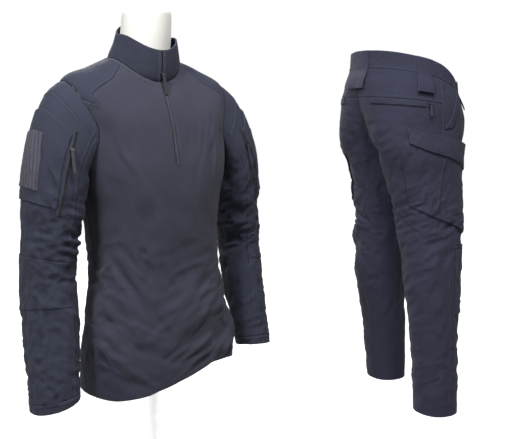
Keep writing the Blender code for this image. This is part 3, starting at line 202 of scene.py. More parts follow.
# Trousers: a row is a ring round one leg, or half of the hips. out is the ring's middle
# from the centre line, half its half size from side to side, and middle, front and back
# are along y. The left leg stands a little forward.
LEG_COLUMNS = ("z", "out", "half", "middle", "front", "back", "square")
HIP_ROWS = (
    ("fork", 0.735, 0.0965, 0.0950, 0.000, 0.1120, 0.1330, 2.2),
    ("low_hip", 0.790, 0.0780, 0.1070, 0.000, 0.1340, 0.1480, 2.2),
    ("hip", 0.850, 0.0480, 0.1360, 0.000, 0.1490, 0.1550, 2.2),
    ("high_hip", 0.895, 0.0210, 0.1560, 0.000, 0.1490, 0.1540, 2.2),
    ("waist", 0.932, 0.0040, 0.1600, 0.000, 0.1430, 0.1460, 2.2),
    ("top", 0.980, 0.0000, 0.1580, 0.000, 0.1410, 0.1430, 2.2),
)
LEFT_HIP = 0.93  # the left side of the hips is drawn in by the forward leg
LEG_ROWS = {
    "right": (
        ("hem", 0.000, 0.1940, 0.0600, -0.002, 0.0590, 0.0600, 2.2),
        ("ankle", 0.080, 0.1860, 0.0605, -0.003, 0.0600, 0.0610, 2.2),
        ("shin", 0.220, 0.1670, 0.0650, -0.009, 0.0660, 0.0680, 2.2),
        ("calf", 0.350, 0.1470, 0.0710, -0.015, 0.0720, 0.0780, 2.2),
        ("knee", 0.470, 0.1260, 0.0780, -0.019, 0.0810, 0.0860, 2.2),
        ("low_thigh", 0.570, 0.1090, 0.0855, -0.018, 0.0900, 0.0980, 2.2),
        ("thigh", 0.660, 0.0985, 0.0910, -0.010, 0.0980, 0.1120, 2.2),
        *HIP_ROWS,
    ),
    "left": (
        ("hem", 0.000, 0.1100, 0.0600, -0.049, 0.0590, 0.0600, 2.2),
        ("ankle", 0.080, 0.1080, 0.0605, -0.044, 0.0600, 0.0610, 2.2),
        ("shin", 0.220, 0.1020, 0.0650, -0.027, 0.0660, 0.0680, 2.2),
        ("calf", 0.350, 0.0950, 0.0710, -0.007, 0.0720, 0.0770, 2.2),
        ("knee", 0.470, 0.0870, 0.0745, 0.003, 0.0800, 0.0760, 2.2),
        ("low_thigh", 0.570, 0.0820, 0.0760, 0.003, 0.0880, 0.0840, 2.2),
        ("thigh", 0.660, 0.0820, 0.0800, 0.000, 0.0980, 0.1000, 2.2),
        *((name, z, out * LEFT_HIP, half * LEFT_HIP, *rest) for name, z, out, half, *rest in HIP_ROWS),
    ),
}
LEFT_FOLD_MOVE = 0.026  # how far the left leg's folds lie behind the right one's
FORK_Z, WAIST_SEAM_Z, WAIST_TOP_Z = 0.735, 0.932, 0.975
WAIST_TILT = 0.25  # rise of the waist towards the back, in metres for each metre
FRONT_DIP, DIP_FROM_Y = 2.0, 0.03  # how much further the front dips, for each square metre
TILT_FROM_Z = 0.765
YOKE_Z = 0.863  # the seam under the back yoke

ZIP_FOOT_LEVEL = 5.333  # place of the zip's foot in the table of the shirt body
SIDE_LINE = 7  # the line of the side seam
COLLAR_LEVELS = np.array([0.02, 1.0, 2.0, 3.0])
COLLAR_WALL = 0.0032
BAND_WALL = 0.0035
ARMHOLE_GAP_RING = 0.02  # where the sleeve starts, in rings from the edge of the armhole
CAP_SEAM_RING = 1
FORM_LEVELS = (1.0, 1.2, 1.7, 2.3, 2.9, 3.5, 4.1, 4.7, 5.3, 5.9, 6.4, 6.8, 7.2, 7.7, 8.2, 8.7)
FORM_TOP = 1.0605
# radius and z of the stand's outline, from the floor up
STAND_OUTLINE = (
    (BASE_RADIUS, 0.0),
    (BASE_RADIUS, BASE_THICKNESS - 0.003),
    (BASE_RADIUS - 0.003, BASE_THICKNESS),
    (0.024, BASE_THICKNESS + 0.002),
    (0.022, BASE_THICKNESS + 0.030),
    (POLE_RADIUS, BASE_THICKNESS + 0.034),
    (POLE_RADIUS, FORM_BOTTOM - SEAM_GAP),
)

# Pieces that lie on the sleeve, made from its own points: height above the cloth,
# thickness (a list runs round the sleeve), colour, first and last place and ring
SLEEVE_LAYERS = (
    ("sleeve_pocket", 0.0004, (0.002, 0.0032, 0.0032, 0.002), "woven", (7, 14), (2, 7)),
    ("loop_panel", 0.0041, 0.0018, "loop", (9, 13), (3, 6)),
    ("elbow_patch", 0.0006, (0.0016, 0.0024, 0.0024, 0.0016), "woven", (5, 15), (10, 13)),
)

# How far the belt loops stand off the cloth, from their foot up
BACK_LOOP_LIFTS = (0.0090, 0.0060, 0.0012, 0.0008, 0.0008)
FRONT_LOOP_LIFTS = (0.0040, 0.0020, 0.0010, 0.0008, 0.0008)
# Pieces that lie on the trousers, made from the points of a leg panel: height above the
# cloth and thickness (a list runs up or round), colour, half of the leg, first and last
# line round the leg and row up it
LEG_LAYERS = (
    ("knee_patch", 0.0004, (0.002, 0.004, 0.004, 0.002), "trouser", "front", (1, 9), (5, 9)),
    ("back_welt", 0.0004, 0.0018, "trouser", "back", (2, 8), (20, 21)),
    ("belt_loop_back", BACK_LOOP_LIFTS, 0.0025, "trouser", "back", (1, 3), (22, 26)),
    ("belt_loop_front", FRONT_LOOP_LIFTS, 0.0022, "trouser", "front", (5, 6), (22, 26)),
)

# The corners, as (turn, z), of slanted pieces on the trousers that don't follow its lines
POCKET_CORNERS = ((0.36, 0.587), (-0.40, 0.484), (-0.40, 0.680), (0.29, 0.768))
FLAP_CORNERS = ((0.265, 0.757), (-0.43, 0.665), (-0.43, 0.742), (0.300, 0.795))
FRONT_POCKET_CORNERS = ((-0.10, 0.800), (-0.02, 0.795), (-0.27, 0.928), (-0.36, 0.928))
POCKET_WALLS = (0.002, 0.0022, 0.0025, 0.0030, 0.0042, 0.0045, 0.0042, 0.002)
# height, thickness (a list runs across), colour, cells across and up, and the corners
SLANTED_LAYERS = (
    ("cargo_pocket", 0.0030, POCKET_WALLS, "trouser", (11, 8), POCKET_CORNERS),
    ("cargo_flap", 0.0092, 0.0018, "trouser", (10, 3), FLAP_CORNERS),
    ("front_pocket", 0.0012, 0.0016, "trouser", (2, 8), FRONT_POCKET_CORNERS),
)

# The gusset over each side of the shirt's hem, with corners as (degrees from the front, level)
PANEL_THICK = 0.0012
SIDE_PANEL = ((38, 0.03), (142, 0.03), (97, 1.95), (84, 1.95))

# Rows up one leg, and lines round it as turns from its outer seam
LEG_HEIGHTS = np.array(
    [0.0, 0.055, 0.110, 0.165, 0.220, 0.280, 0.330, 0.380, 0.430, 0.470, 0.520, 0.570, 0.620]
    + [0.665, 0.700, FORK_Z]
    + [0.745, 0.763, 0.787, 0.814, 0.8485, YOKE_Z, 0.884, 0.908, WAIST_SEAM_Z, 0.9535, WAIST_TOP_Z]
)
BAND_HEIGHTS = LEG_HEIGHTS[-3:]
FRONT_TURNS = (-1.0, -0.9, -0.8, -0.7, -0.6, -0.5, -0.4, -0.3, -0.2, -0.1, 0.0)
BACK_TURNS = (0.0, 0.1, 0.16, 0.27, 0.37, 0.47, 0.57, 0.67, 0.77, 0.88, 1.0)
CENTRE_LOOP = (1.88, 1.94, 2.0, 2.06, 2.12)  # places round the waist, with the centre back at 2

# Waistband pieces: first and last place round the waist
WAISTBAND = (
    ("waistband_elastic_left", 0.70, 1.10),
    ("waistband_back", 1.10, 2.90),
    ("waistband_elastic_right", 2.90, 3.30),
    ("waistband_front", 3.30, 4.70),
)


def spline(values, at):
    """A smooth curve through values, read at places from 0 to len(values) - 1."""
    values = np.asarray(values, float)
    last = len(values) - 1
    at = np.clip(np.asarray(at, float), 0.0, last)
    i = np.minimum(at.astype(int), last - 1)
    f = at - i
    p1, p2 = values[i], values[i + 1]
    p0 = np.where(i > 0, values[np.maximum(i - 1, 0)], 2 * p1 - p2)
    p3 = np.where(i + 2 <= last, values[np.minimum(i + 2, last)], 2 * p2 - p1)
    bend = 2 * p0 - 5 * p1 + 4 * p2 - p3
    return 0.5 * (2 * p1 + (p2 - p0) * f + bend * f**2 + (3 * p1 - p0 - 3 * p2 + p3) * f**3)


def table(rows, columns, at):
    """The columns of a table as a dict, read at a place along its rows."""
    return {name: spline([row[n + 1] for row in rows], at) for n, name in enumerate(columns)}


def unit(vectors):
    return vectors / np.maximum(np.linalg.norm(vectors, axis=-1, keepdims=True), 1e-9)


def fold_height(points, folds):
    """How far the folds of a table lift the cloth at the points."""
    total = np.zeros(points.shape[:-1])
    for _, x1, y1, z1, x2, y2, z2, width, height in folds:
        start, span = np.array([x1, y1, z1]), np.array([x2 - x1, y2 - y1, z2 - z1])
        share = np.clip(np.sum((points - start) * span, axis=-1) / np.dot(span, span), 0, 1)
        away = np.linalg.norm(points - start - share[..., None] * span, axis=-1)
        total += height * np.exp(-((away / width) ** 2))
    return total


def folded(plain, u, v, steps, side, folds):
    """A plain surface with the folds of a table."""
    points = plain(u, v)
    facing = normals(plain, u, v, *steps) * side
    return points + facing * fold_height(points, folds)[..., None]


def mirrored_folds(folds, move_y=0.0):
    mirrored = []
    for name, x1, y1, z1, x2, y2, z2, width, height in folds:
        mirrored.append((name, -x1, y1 + move_y, z1, -x2, y2 + move_y, z2, width, height))
    return mirrored


def ring_point(rows, theta, level):
    """A point of a ring table: theta is 0 at the front and half a turn at the back."""
    row = table(rows, SHIRT_COLUMNS, level)
    power = 2.0 / row["square"]
    s, c = np.sin(theta), np.cos(theta)
    along = np.abs(c) ** power
    edge = np.where(c > 0, row["front"], row["back"])
    z_edge = np.where(c > 0, row["z_front"], row["z_back"])
    x = row["half_width"] * np.sign(s) * np.abs(s) ** power
    y = row["middle"] + (edge - row["middle"]) * along
    z = row["z_side"] + (z_edge - row["z_side"]) * along**2
    return np.stack([x, y, z], axis=-1)


def shirt_body(theta, level):
    point = ring_point(SHIRT_ROWS, theta, level)
    angles, lifts = zip(*HEM_LIFTS)
    turn = np.degrees(np.arctan2(np.sin(theta), np.cos(theta)))
    place = np.interp(turn, angles, range(len(angles)))
    low = np.clip(1.0 - np.asarray(level) / HEM_LIFT_LEVELS, 0, 1)
    point[..., 2] += spline(lifts, place) * low * low * (3 - 2 * low)
    return point


def collar(theta, level):
    return ring_point(COLLAR_ROWS, theta, level)


def armhole_bend(theta, level):
    """Moves a place on the shirt body so that the armhole's square of cells is a round hole."""
    side = np.sign(np.sin(theta))
    middle = (ARMPIT + SHOULDER) / 2
    half = (SHOULDER - ARMPIT) / 2
    p = (np.abs(np.arctan2(np.sin(theta), np.cos(theta))) - math.pi / 2) / ARM_HALF_TURN
    q = (level - middle) / half
    reach = np.maximum(np.maximum(np.abs(p), np.abs(q)), 1e-9)
    p1, q1 = p / np.maximum(reach, 1.0), q / np.maximum(reach, 1.0)
    fade = np.clip(1.0 - (reach - 1.0) / ARM_SPREAD, 0.0, 1.0)
    fade = np.where(reach > 1.0, fade * fade * (3 - 2 * fade), 1.0)
    moved_p = p + (p1 * np.sqrt(1 - q1**2 / 2) - p1) * fade
    moved_q = q + (q1 * np.sqrt(1 - p1**2 / 2) - q1) * fade
    theta = side * (math.pi / 2 + moved_p * ARM_HALF_TURN)
    return theta, middle + moved_q * half


def line_angle(place, level):
    """The angle of a line down the shirt body; place may lie between two lines."""
    count = len(LINES_BODY)
    around = np.abs(place)
    body = spline(LINES_BODY + (180.0,), np.clip(around, 0, count))
    neck = spline(LINES_NECK + (180.0,), np.clip(around, 0, count))
    share = np.clip((level - SHOULDER) / (NECK_SEAM - SHOULDER), 0, 1)
    return np.radians(body + (neck - body) * share)


def shirt_plain(theta, level):
    return shirt_body(*armhole_bend(theta, level))


def shirt_surface(theta, level):
    return folded(shirt_plain, theta, level, SHIRT_STEPS, 1.0, SHIRT_FOLDS)


def armhole(side, place):
    """The edge of an armhole: place runs from 0 at the armpit, up the front, over the
    shoulder and down the back, to ARM_CELLS."""
    place = np.mod(np.asarray(place, float), ARM_CELLS)
    half = ARM_ACROSS / 2
    # the corners of the square of cells, each as (place, p, q)
    at = (0.0, half, half + ARM_UP, half + ARM_UP + ARM_ACROSS, ARM_CELLS - half, ARM_CELLS)
    p = np.interp(place, at, (0.0, -1.0, -1.0, 1.0, 1.0, 0.0))
    q = np.interp(place, at, (-1.0, -1.0, 1.0, 1.0, -1.0, -1.0))
    theta = SIDES[side] * (math.pi / 2 + p * ARM_HALF_TURN)
    level = (ARMPIT + SHOULDER) / 2 + q * (SHOULDER - ARMPIT) / 2
    return shirt_surface(theta, level)


def sleeve_tube(side, place, along):
    """A point of the sleeve below its cap; along is a place in the side's table."""
    row = table(SLEEVES[side], SLEEVE_COLUMNS, along)
    sign = SIDES[side]
    turn = 2 * math.pi * np.asarray(place, float) / ARM_CELLS
    step = 0.05
    ahead = table(SLEEVES[side], SLEEVE_COLUMNS, np.asarray(along) + step)
    behind = table(SLEEVES[side], SLEEVE_COLUMNS, np.asarray(along) - step)
    axis = [sign * (ahead["out"] - behind["out"]), ahead["y"] - behind["y"], ahead["z"] - behind["z"]]
    axis = unit(np.stack(np.broadcast_arrays(*axis), axis=-1))
    yaw = np.radians(row["yaw"])
    outward = np.stack([sign * np.cos(yaw), -np.sin(yaw) + 0 * yaw, 0 * yaw], axis=-1)
    outward = unit(outward - axis * np.sum(outward * axis, axis=-1, keepdims=True))
    forward = np.cross(axis, outward) * sign
    forward = np.where(forward[..., 1:2] > 0, -forward, forward)
    middle = np.stack([sign * row["out"], row["y"], row["z"] + 0 * yaw], axis=-1)
    thin = (-np.cos(turn) * row["thin"])[..., None] * outward
    long = (np.sin(turn) * row["long"])[..., None] * forward
    point = middle + thin + long
    # the inner side of the first rings hangs lower than the outer side, by dip
    point[..., 2] -= row["dip"] * np.cos(turn) * 0.5
    return point


def sleeve(side, place, ring):
    """A point of a sleeve: ring is 0 at the armhole, CAP_RINGS where the tube starts."""
    folds = SLEEVE_FOLDS if side == "right" else mirrored_folds(SLEEVE_FOLDS)
    return folded(lambda u, v: sleeve_plain(side, u, v), place, ring, SLEEVE_STEPS, -SIDES[side], folds)


def sleeve_plain(side, place, ring):
    place, ring = np.broadcast_arrays(np.asarray(place, float), np.asarray(ring, float))
    last = len(SLEEVES[side]) - 1
    along = (ring - CAP_RINGS) / TUBE_RINGS * last
    tube = sleeve_tube(side, place, along)
    start = armhole(side, place)
    end = sleeve_tube(side, place, np.zeros_like(place))
    below = sleeve_tube(side, place, np.full_like(place, 0.2))
    turn = 2 * math.pi * place / ARM_CELLS
    up = (1 - np.cos(turn)) / 2  # 0 at the armpit, 1 over the shoulder
    out = np.stack([SIDES[side] * (0.55 + 0.45 * up), -0.12 * np.sin(turn), -0.75 + 0.40 * up], axis=-1)
    span = np.linalg.norm(end - start, axis=-1, keepdims=True)
    leave = unit(out) * span * (0.58 + 0.30 * up[..., None])
    arrive = unit(below - end) * span * (0.6 + 0.38 * up[..., None])
    t = np.clip(ring / CAP_RINGS, 0, 1)[..., None]
    cap = (
        (2 * t**3 - 3 * t**2 + 1) * start
        + (t**3 - 2 * t**2 + t) * leave
        + (-2 * t**3 + 3 * t**2) * end
        + (t**3 - t**2) * arrive
    )
    return np.where(t < 1.0, cap, tube)


def leg(side, turn, z):
    """A point of the trousers in their own frame, facing -Y. turn is 0 at the outer seam,
    -1 at the inner edge of the front, and 1 at the inner edge of the back."""
    folds = LEG_FOLDS if side == "right" else mirrored_folds(LEG_FOLDS, LEFT_FOLD_MOVE)
    return folded(lambda u, v: leg_plain(side, u, v), turn, z, LEG_STEPS, SIDES[side], folds)


def leg_plain(side, turn, z):
    turn, z = np.broadcast_arrays(np.asarray(turn, float), np.asarray(z, float))
    heights = [row[1] for row in LEG_ROWS[side]]
    place = np.interp(z, heights, range(len(heights)))
    row = {name: spline([r[n + 1] for r in LEG_ROWS[side]], place) for n, name in enumerate(LEG_COLUMNS)}
    power = 2.0 / row["square"]
    ratio = np.clip(row["out"] / row["half"], 0.0, 1.0)
    last = math.pi - np.where(z <= FORK_Z, 0.0, np.arccos(ratio ** (1 / power)))
    angle = np.abs(turn) * last
    s, c = np.sin(angle), np.cos(angle)
    x = row["out"] + row["half"] * np.sign(c) * np.abs(c) ** power
    depth = np.where(turn < 0, -row["front"], row["back"])
    y = row["middle"] + depth * np.sign(s) * np.abs(s) ** power
    lift = np.clip((z - TILT_FROM_Z) / (WAIST_TOP_Z - TILT_FROM_Z), 0, 1)
    rise = WAIST_TILT * y - FRONT_DIP * np.minimum(y - DIP_FROM_Y, 0.0) ** 2
    return np.stack([SIDES[side] * x, y, z + rise * lift], axis=-1)


def to_world(points):
    """Turns and moves points of the trousers to where they stand."""
    c, s = math.cos(TROUSER_YAW), math.sin(TROUSER_YAW)
    x, y = points[..., 0], points[..., 1]
    world = [c * x - s * y + TROUSER_SPOT[0], s * x + c * y + TROUSER_SPOT[1], points[..., 2]]
    return np.stack(world, axis=-1)


def normals(surface, u, v, du, dv):
    """Unit normals of surface(u, v), by small steps."""
    along_u = surface(u + du, v) - surface(u - du, v)
    along_v = surface(u, v + dv) - surface(u, v - dv)
    return unit(np.cross(along_u, along_v))


# Smaller creases that only the cloth here has. Each field has a middle and a reach, the
# direction that its creases run, their pitch and their height; lengths are in metres.
SHIRT_CREASES = (
    ("right_chest", -0.125, -0.100, 0.740, 0.085, 0.25, -0.20, -1.0, 0.020, 0.0033),
    ("left_chest", 0.125, -0.100, 0.740, 0.085, -0.25, -0.20, -1.0, 0.020, 0.0033),
    ("right_hip", -0.130, -0.110, 0.340, 0.100, 0.75, -0.30, -0.55, 0.022, 0.0039),
    ("left_hip", 0.130, -0.110, 0.370, 0.110, -0.75, -0.30, -0.60, 0.022, 0.0042),
    ("belly", 0.000, -0.150, 0.420, 0.150, 0.30, 0.00, -1.0, 0.045, 0.0024),
    ("right_waist", -0.150, 0.000, 0.520, 0.110, 0.10, 0.60, -0.40, 0.024, 0.0036),
    ("left_waist", 0.150, 0.000, 0.520, 0.110, -0.10, 0.60, -0.40, 0.024, 0.0036),
    ("back_waist", 0.000, 0.105, 0.520, 0.140, 1.00, 0.00, -0.25, 0.028, 0.0039),
    ("back_blades", 0.000, 0.120, 0.780, 0.150, 0.30, 0.00, -1.0, 0.040, 0.0027),
    ("back_hem", 0.000, 0.110, 0.340, 0.150, 0.35, 0.00, -1.0, 0.045, 0.0030),
    ("belly_drape", 0.060, -0.155, 0.420, 0.110, -1.00, -0.10, -0.30, 0.030, 0.0050),
    ("hem_drape", 0.040, -0.150, 0.330, 0.120, -1.00, -0.10, -0.45, 0.028, 0.0060),
    ("side_drape", -0.120, -0.080, 0.470, 0.090, 0.40, -0.50, -0.80, 0.022, 0.0046),
    ("chest_drape", -0.060, -0.140, 0.610, 0.110, 0.30, 0.00, -1.00, 0.030, 0.0034),
)
SLEEVE_CREASES = (
    ("upper_front", -0.225, -0.060, 0.700, 0.070, 0.35, 0.00, -1.0, 0.020, 0.0037),
    ("upper_back", -0.235, 0.065, 0.690, 0.080, -0.25, 0.20, -1.0, 0.022, 0.0037),
    ("armpit", -0.175, -0.010, 0.690, 0.065, 0.30, 0.85, -0.30, 0.014, 0.0037),
    ("elbow", -0.235, -0.045, 0.580, 0.085, 0.85, 0.35, -0.35, 0.017, 0.0051),
    ("inner_elbow", -0.195, -0.010, 0.570, 0.070, 0.20, 0.90, -0.30, 0.015, 0.0044),
    ("forearm", -0.250, -0.050, 0.420, 0.110, 0.70, 0.30, -0.80, 0.022, 0.0037),
    ("wrist", -0.262, -0.045, 0.300, 0.090, 0.80, 0.40, -0.35, 0.016, 0.0041),
    ("forearm_back", -0.260, 0.045, 0.430, 0.120, 0.30, 0.50, -0.85, 0.024, 0.0034),
)
LEG_CREASES = (
    ("seat", -0.071, 0.103, 0.770, 0.110, 0.90, 0.10, -0.45, 0.022, 0.0034),
    ("thigh_back", -0.076, 0.066, 0.640, 0.120, 0.55, 0.00, -0.90, 0.028, 0.0036),
    ("behind_knee", -0.114, 0.047, 0.520, 0.110, 0.95, 0.10, -0.40, 0.019, 0.0047),
    ("calf", -0.148, 0.039, 0.380, 0.120, 0.80, 0.10, -0.65, 0.026, 0.0036),
    ("ankle_back", -0.182, 0.038, 0.130, 0.110, 0.85, 0.10, -0.45, 0.022, 0.0031),
    ("inner_leg", -0.042, -0.029, 0.560, 0.150, 0.05, 0.60, -0.80, 0.028, 0.0031),
    ("inner_calf", -0.101, -0.021, 0.300, 0.150, 0.05, 0.50, -0.85, 0.030, 0.0029),
    ("front_thigh", -0.081, -0.119, 0.680, 0.120, 0.75, 0.00, -0.60, 0.030, 0.0029),
    ("knee", -0.124, -0.096, 0.500, 0.120, 0.90, 0.10, -0.30, 0.026, 0.0026),
    ("shin", -0.163, -0.064, 0.260, 0.130, 0.70, 0.00, -0.75, 0.030, 0.0026),
    ("ankle_front", -0.184, -0.054, 0.090, 0.100, 0.90, 0.00, -0.35, 0.022, 0.0029),
    ("fork", -0.022, -0.008, 0.740, 0.080, 0.75, 0.60, -0.60, 0.016, 0.0031),
    ("outer_knee", -0.199, -0.023, 0.520, 0.100, 0.15, 0.90, -0.45, 0.020, 0.0031),
)
DEEPEST = 0.0036  # how far a crease may sink into the cloth below it
CREASE_STRETCH = 4.5  # how much longer a crease is than it is wide
UNDULATION, UNDULATION_SIZE = 0.0016, 0.060

SPACING = 0.0042  # between the points of the cloth
FINE_SPACING = 0.0022  # between the points of belt loops, and up the elastic
FINEST_SPACING = 0.0011  # across ribs and gathers
STITCH_PITCH, STITCH_LENGTH = 0.0036, 0.0027
STITCH_WIDTH, STITCH_HEIGHT, STITCH_DEPTH = 0.00055, 0.00035, 0.0003
ROOT = "uniform"
EDGE_INSET, EDGE_ROUND, EDGE_DROP = 0.0004, 0.0006, 0.0004  # how a cut edge is drawn in and rounded


NOISE_VALUES = np.random.default_rng(7).uniform(-1, 1, 8192)


def lattice_noise(points, size, seed):
    """Smooth noise from -1 to 1, on a lattice of the given size."""
    at = points / size + seed * 17.3
    low = np.floor(at).astype(np.int64)
    x, y, z = np.moveaxis(at - low, -1, 0)
    x, y, z = (n * n * n * (n * (n * 6 - 15) + 10) for n in (x, y, z))
    index = low @ np.array([7919, 104729, 1299709])
    total = 0.0
    for i, j, k in np.ndindex(2, 2, 2):
        weight = (x if i else 1 - x) * (y if j else 1 - y) * (z if k else 1 - z)
        step = 7919 * i + 104729 * j + 1299709 * k
        total = total + NOISE_VALUES[np.mod(index + step, len(NOISE_VALUES))] * weight
    return total


def crease_height(points, fields, seed):
    """How far the creases of a table lift the cloth at the points."""
    total = UNDULATION * lattice_noise(points, UNDULATION_SIZE, seed)
    for n, (_, x, y, z, reach, run_x, run_y, run_z, pitch, height) in enumerate(fields):
        offset = points - np.array([x, y, z])
        near = np.exp(-np.sum(offset**2, axis=-1) / reach**2)
        reached = near > 0.01
        if not reached.any():
            continue
        offset, near = offset[reached], near[reached]
        run = unit(np.array([run_x, run_y, run_z]))
        along = offset @ run
        squeezed = offset - (along * (1 - 1 / CREASE_STRETCH))[..., None] * run
        wave = lattice_noise(squeezed, pitch, seed + 31 * n + 1)
        wave += 0.45 * lattice_noise(squeezed, pitch / 2.1, seed + 31 * n + 2)
        total[reached] += height * near * (0.9 - 1.9 * np.sqrt(wave**2 + 0.012))
    return total


def mirrored_creases(fields, move_y=0.0):
    return [(n, -x, y + move_y, z, r, -rx, ry, rz, p, h) for n, x, y, z, r, rx, ry, rz, p, h in fields]


class Cloth:
    """One garment's surface: where its cloth lies, and which way it faces, at any (u, v).

    The surface with its creases is worked out once, on a fine lattice, and read from there.
    reach gives the first and last u and v of the lattice, and its cells. wrap is the u at
    which a sleeve starts again. calm is the share of the creases left at (u, v): none where
    the cloth meets another garment piece's lattice."""

    def __init__(self, plain, reach, sign, fields, seed, world=None, turn=None, wrap=None, calm=None):
        self.reach, self.wrap = reach, wrap
        (u0, u1, columns), (v0, v1, rows) = reach
        self.steps = (u1 - u0) / columns, (v1 - v0) / rows
        u, v = np.meshgrid(np.linspace(u0, u1, columns + 1), np.linspace(v0, v1, rows + 1))
        points = plain(u, v)
        facing = unit(np.cross(np.gradient(points, axis=1), np.gradient(points, axis=0))) * sign
        height = np.maximum(crease_height(points, fields, seed), -DEEPEST) * (calm(u, v) if calm else 1.0)
        points = points + facing * height[..., None]
        if world:
            points, facing = world(points), turn(facing)
        self.table = self.padded(np.concatenate([points, facing], axis=-1))

    def padded(self, table):
        """The lattice with one more row and column at each edge, in line with the last two."""
        table = np.concatenate([2 * table[:1] - table[1:2], table, 2 * table[-1:] - table[-2:-1]])
        before, after = 2 * table[:, :1] - table[:, 1:2], 2 * table[:, -1:] - table[:, -2:-1]
        return np.concatenate([before, table, after], axis=1)

    def read(self, u, v):
        (u0, _, columns), (v0, _, rows) = self.reach
        u, v = np.broadcast_arrays(np.asarray(u, float), np.asarray(v, float))
        u = np.mod(u, self.wrap) if self.wrap else u
        x = np.clip((u - u0) / self.steps[0], 0, columns)
        y = np.clip((v - v0) / self.steps[1], 0, rows)
        i, j = np.minimum(x.astype(int), columns - 1), np.minimum(y.astype(int), rows - 1)
        across, up = cubic(x - i), cubic(y - j)
        total = 0.0
        for m in range(4):
            for n in range(4):
                total = total + (up[m] * across[n])[..., None] * self.table[j + m, i + n]
        return total

    def at(self, u, v, lift=0.0):
        total = self.read(u, v)
        facing = unit(total[..., 3:])
        return total[..., :3] + facing * np.broadcast_to(lift, facing.shape[:-1])[..., None], facing

    def slopes(self, u, v):
        """How far the surface moves for each unit of u, and of v."""
        du, dv = self.steps
        by_u = (self.read(u + du, v) - self.read(u - du, v)) / (2 * du)
        by_v = (self.read(u, v + dv) - self.read(u, v - dv)) / (2 * dv)
        return by_u[..., :3], by_v[..., :3]


def cubic(f):
    """The four weights of a smooth curve through evenly spaced values."""
    return (
        0.5 * (-f + 2 * f**2 - f**3),
        0.5 * (2 - 5 * f**2 + 3 * f**3),
        0.5 * (f + 4 * f**2 - 3 * f**3),
        0.5 * (f**3 - f**2),
    )


def shirt_angle(line, level):
    """The angle of a line round the shirt: 1 to 14 on the left, -1 to -14 on the right, and
    past 14 on round the back to the right side."""
    count = len(LINES_BODY) + 1
    line = np.where(line > count, line - 2 * count, line)
    side = line_angle(np.maximum(np.abs(line) - 1, 0), level)
    return np.sign(line) * side * np.minimum(np.abs(line), 1.0)


def shirt_by_line(line, level):
    return shirt_surface(shirt_angle(line, level), level)


def collar_by_line(line, level):
    return collar(shirt_angle(line, np.full_like(level, float(NECK_SEAM))), level)


def turned(vectors):
    c, s = math.cos(TROUSER_YAW), math.sin(TROUSER_YAW)
    x, y = vectors[..., 0], vectors[..., 1]
    return np.stack([c * x - s * y, s * x + c * y, vectors[..., 2]], axis=-1)


def shirt_levels():
    low = np.linspace(0, ARMPIT, 11)
    arm = np.linspace(ARMPIT, SHOULDER, ARM_UP + 1)[1:]
    high = np.linspace(SHOULDER, NECK_SEAM, 6)[1:]
    return np.concatenate([low, arm, high])


def waist(place, z):
    """A point of the waist: place runs from 0 at the centre front, over the left side at 1,
    the centre back at 2 and the right side at 3, to 4, where it starts again."""
    place = np.mod(place, 4)
    left = leg("left", place - 1, z)
    right = leg("right", 3 - place, z)
    return np.where((place <= 2)[..., None], left, right)


def sleeve_cloth(side):
    fields = SLEEVE_CREASES if side == "right" else mirrored_creases(SLEEVE_CREASES)
    rings = CAP_RINGS + TUBE_RINGS
    reach = (-1, ARM_CELLS + 1, 8 * (ARM_CELLS + 2)), (0, rings, 9 * rings)
    seed = 40 if side == "right" else 50

    def surface(place, ring):
        return sleeve(side, place, ring)

    return Cloth(surface, reach, -SIDES[side], fields, seed, wrap=ARM_CELLS, calm=calm_sleeve)


def leg_cloth(side):
    fields = LEG_CREASES if side == "right" else mirrored_creases(LEG_CREASES, LEFT_FOLD_MOVE)
    seed = 60 if side == "right" else 70
    reach = (-1.08, 1.08, 216), (0.0, 0.98, 280)

    def surface(turn, z):
        return leg(side, turn, z)

    return Cloth(surface, reach, SIDES[side], fields, seed, to_world, turned, calm=calm_leg)


def calm_shirt(line, level):
    """No creases at the armholes and the neck seam."""
    theta = shirt_angle(line, level)
    away = np.abs(np.arctan2(np.sin(theta), np.cos(theta)))
    p = (away - math.pi / 2) / ARM_HALF_TURN
    q = (level - (ARMPIT + SHOULDER) / 2) / ((SHOULDER - ARMPIT) / 2)
    hole = np.clip((np.maximum(np.abs(p), np.abs(q)) - 1.0) / 0.4, 0, 1)
    return hole * np.clip((NECK_SEAM - level) / 0.4, 0, 1)


def calm_leg(turn, z):
    """No creases at the waist seam, and at the seams where the two legs meet."""
    middle = np.clip((1.0 - np.abs(turn)) / 0.10, 0, 1)
    return np.clip((WAIST_SEAM_Z - z) / 0.03, 0, 1) * np.where(z > FORK_Z - 0.02, middle, 1.0)


def calm_waist(_, z):
    return np.clip((z - WAIST_SEAM_Z) / 0.02, 0, 1)


def calm_sleeve(_, ring):
    return np.clip(ring / 0.9, 0, 1)


def calm_collar(_, level):
    return np.clip(level / 0.5, 0, 1)


# the first and last u and v of each lattice, and its cells
SHIRT_REACH = (-14.5, 28.5, 516), (0.0, 9.0, 216)
COLLAR_REACH = (-2.0, 28.5, 244), (0.0, 3.0, 36)
WAIST_REACH = (-0.05, 4.9, 495), (0.86, 0.98, 48)


CLOTHS = {
    "shirt": Cloth(shirt_by_line, SHIRT_REACH, 1.0, SHIRT_CREASES, 10, calm=calm_shirt),
    "collar": Cloth(collar_by_line, COLLAR_REACH, 1.0, (), 20, calm=calm_collar),
    "waist": Cloth(waist, WAIST_REACH, 1.0, (), 30, to_world, turned, calm=calm_waist),
    "sleeve_right": sleeve_cloth("right"),
    "sleeve_left": sleeve_cloth("left"),
    "leg_right": leg_cloth("right"),
    "leg_left": leg_cloth("left"),
}


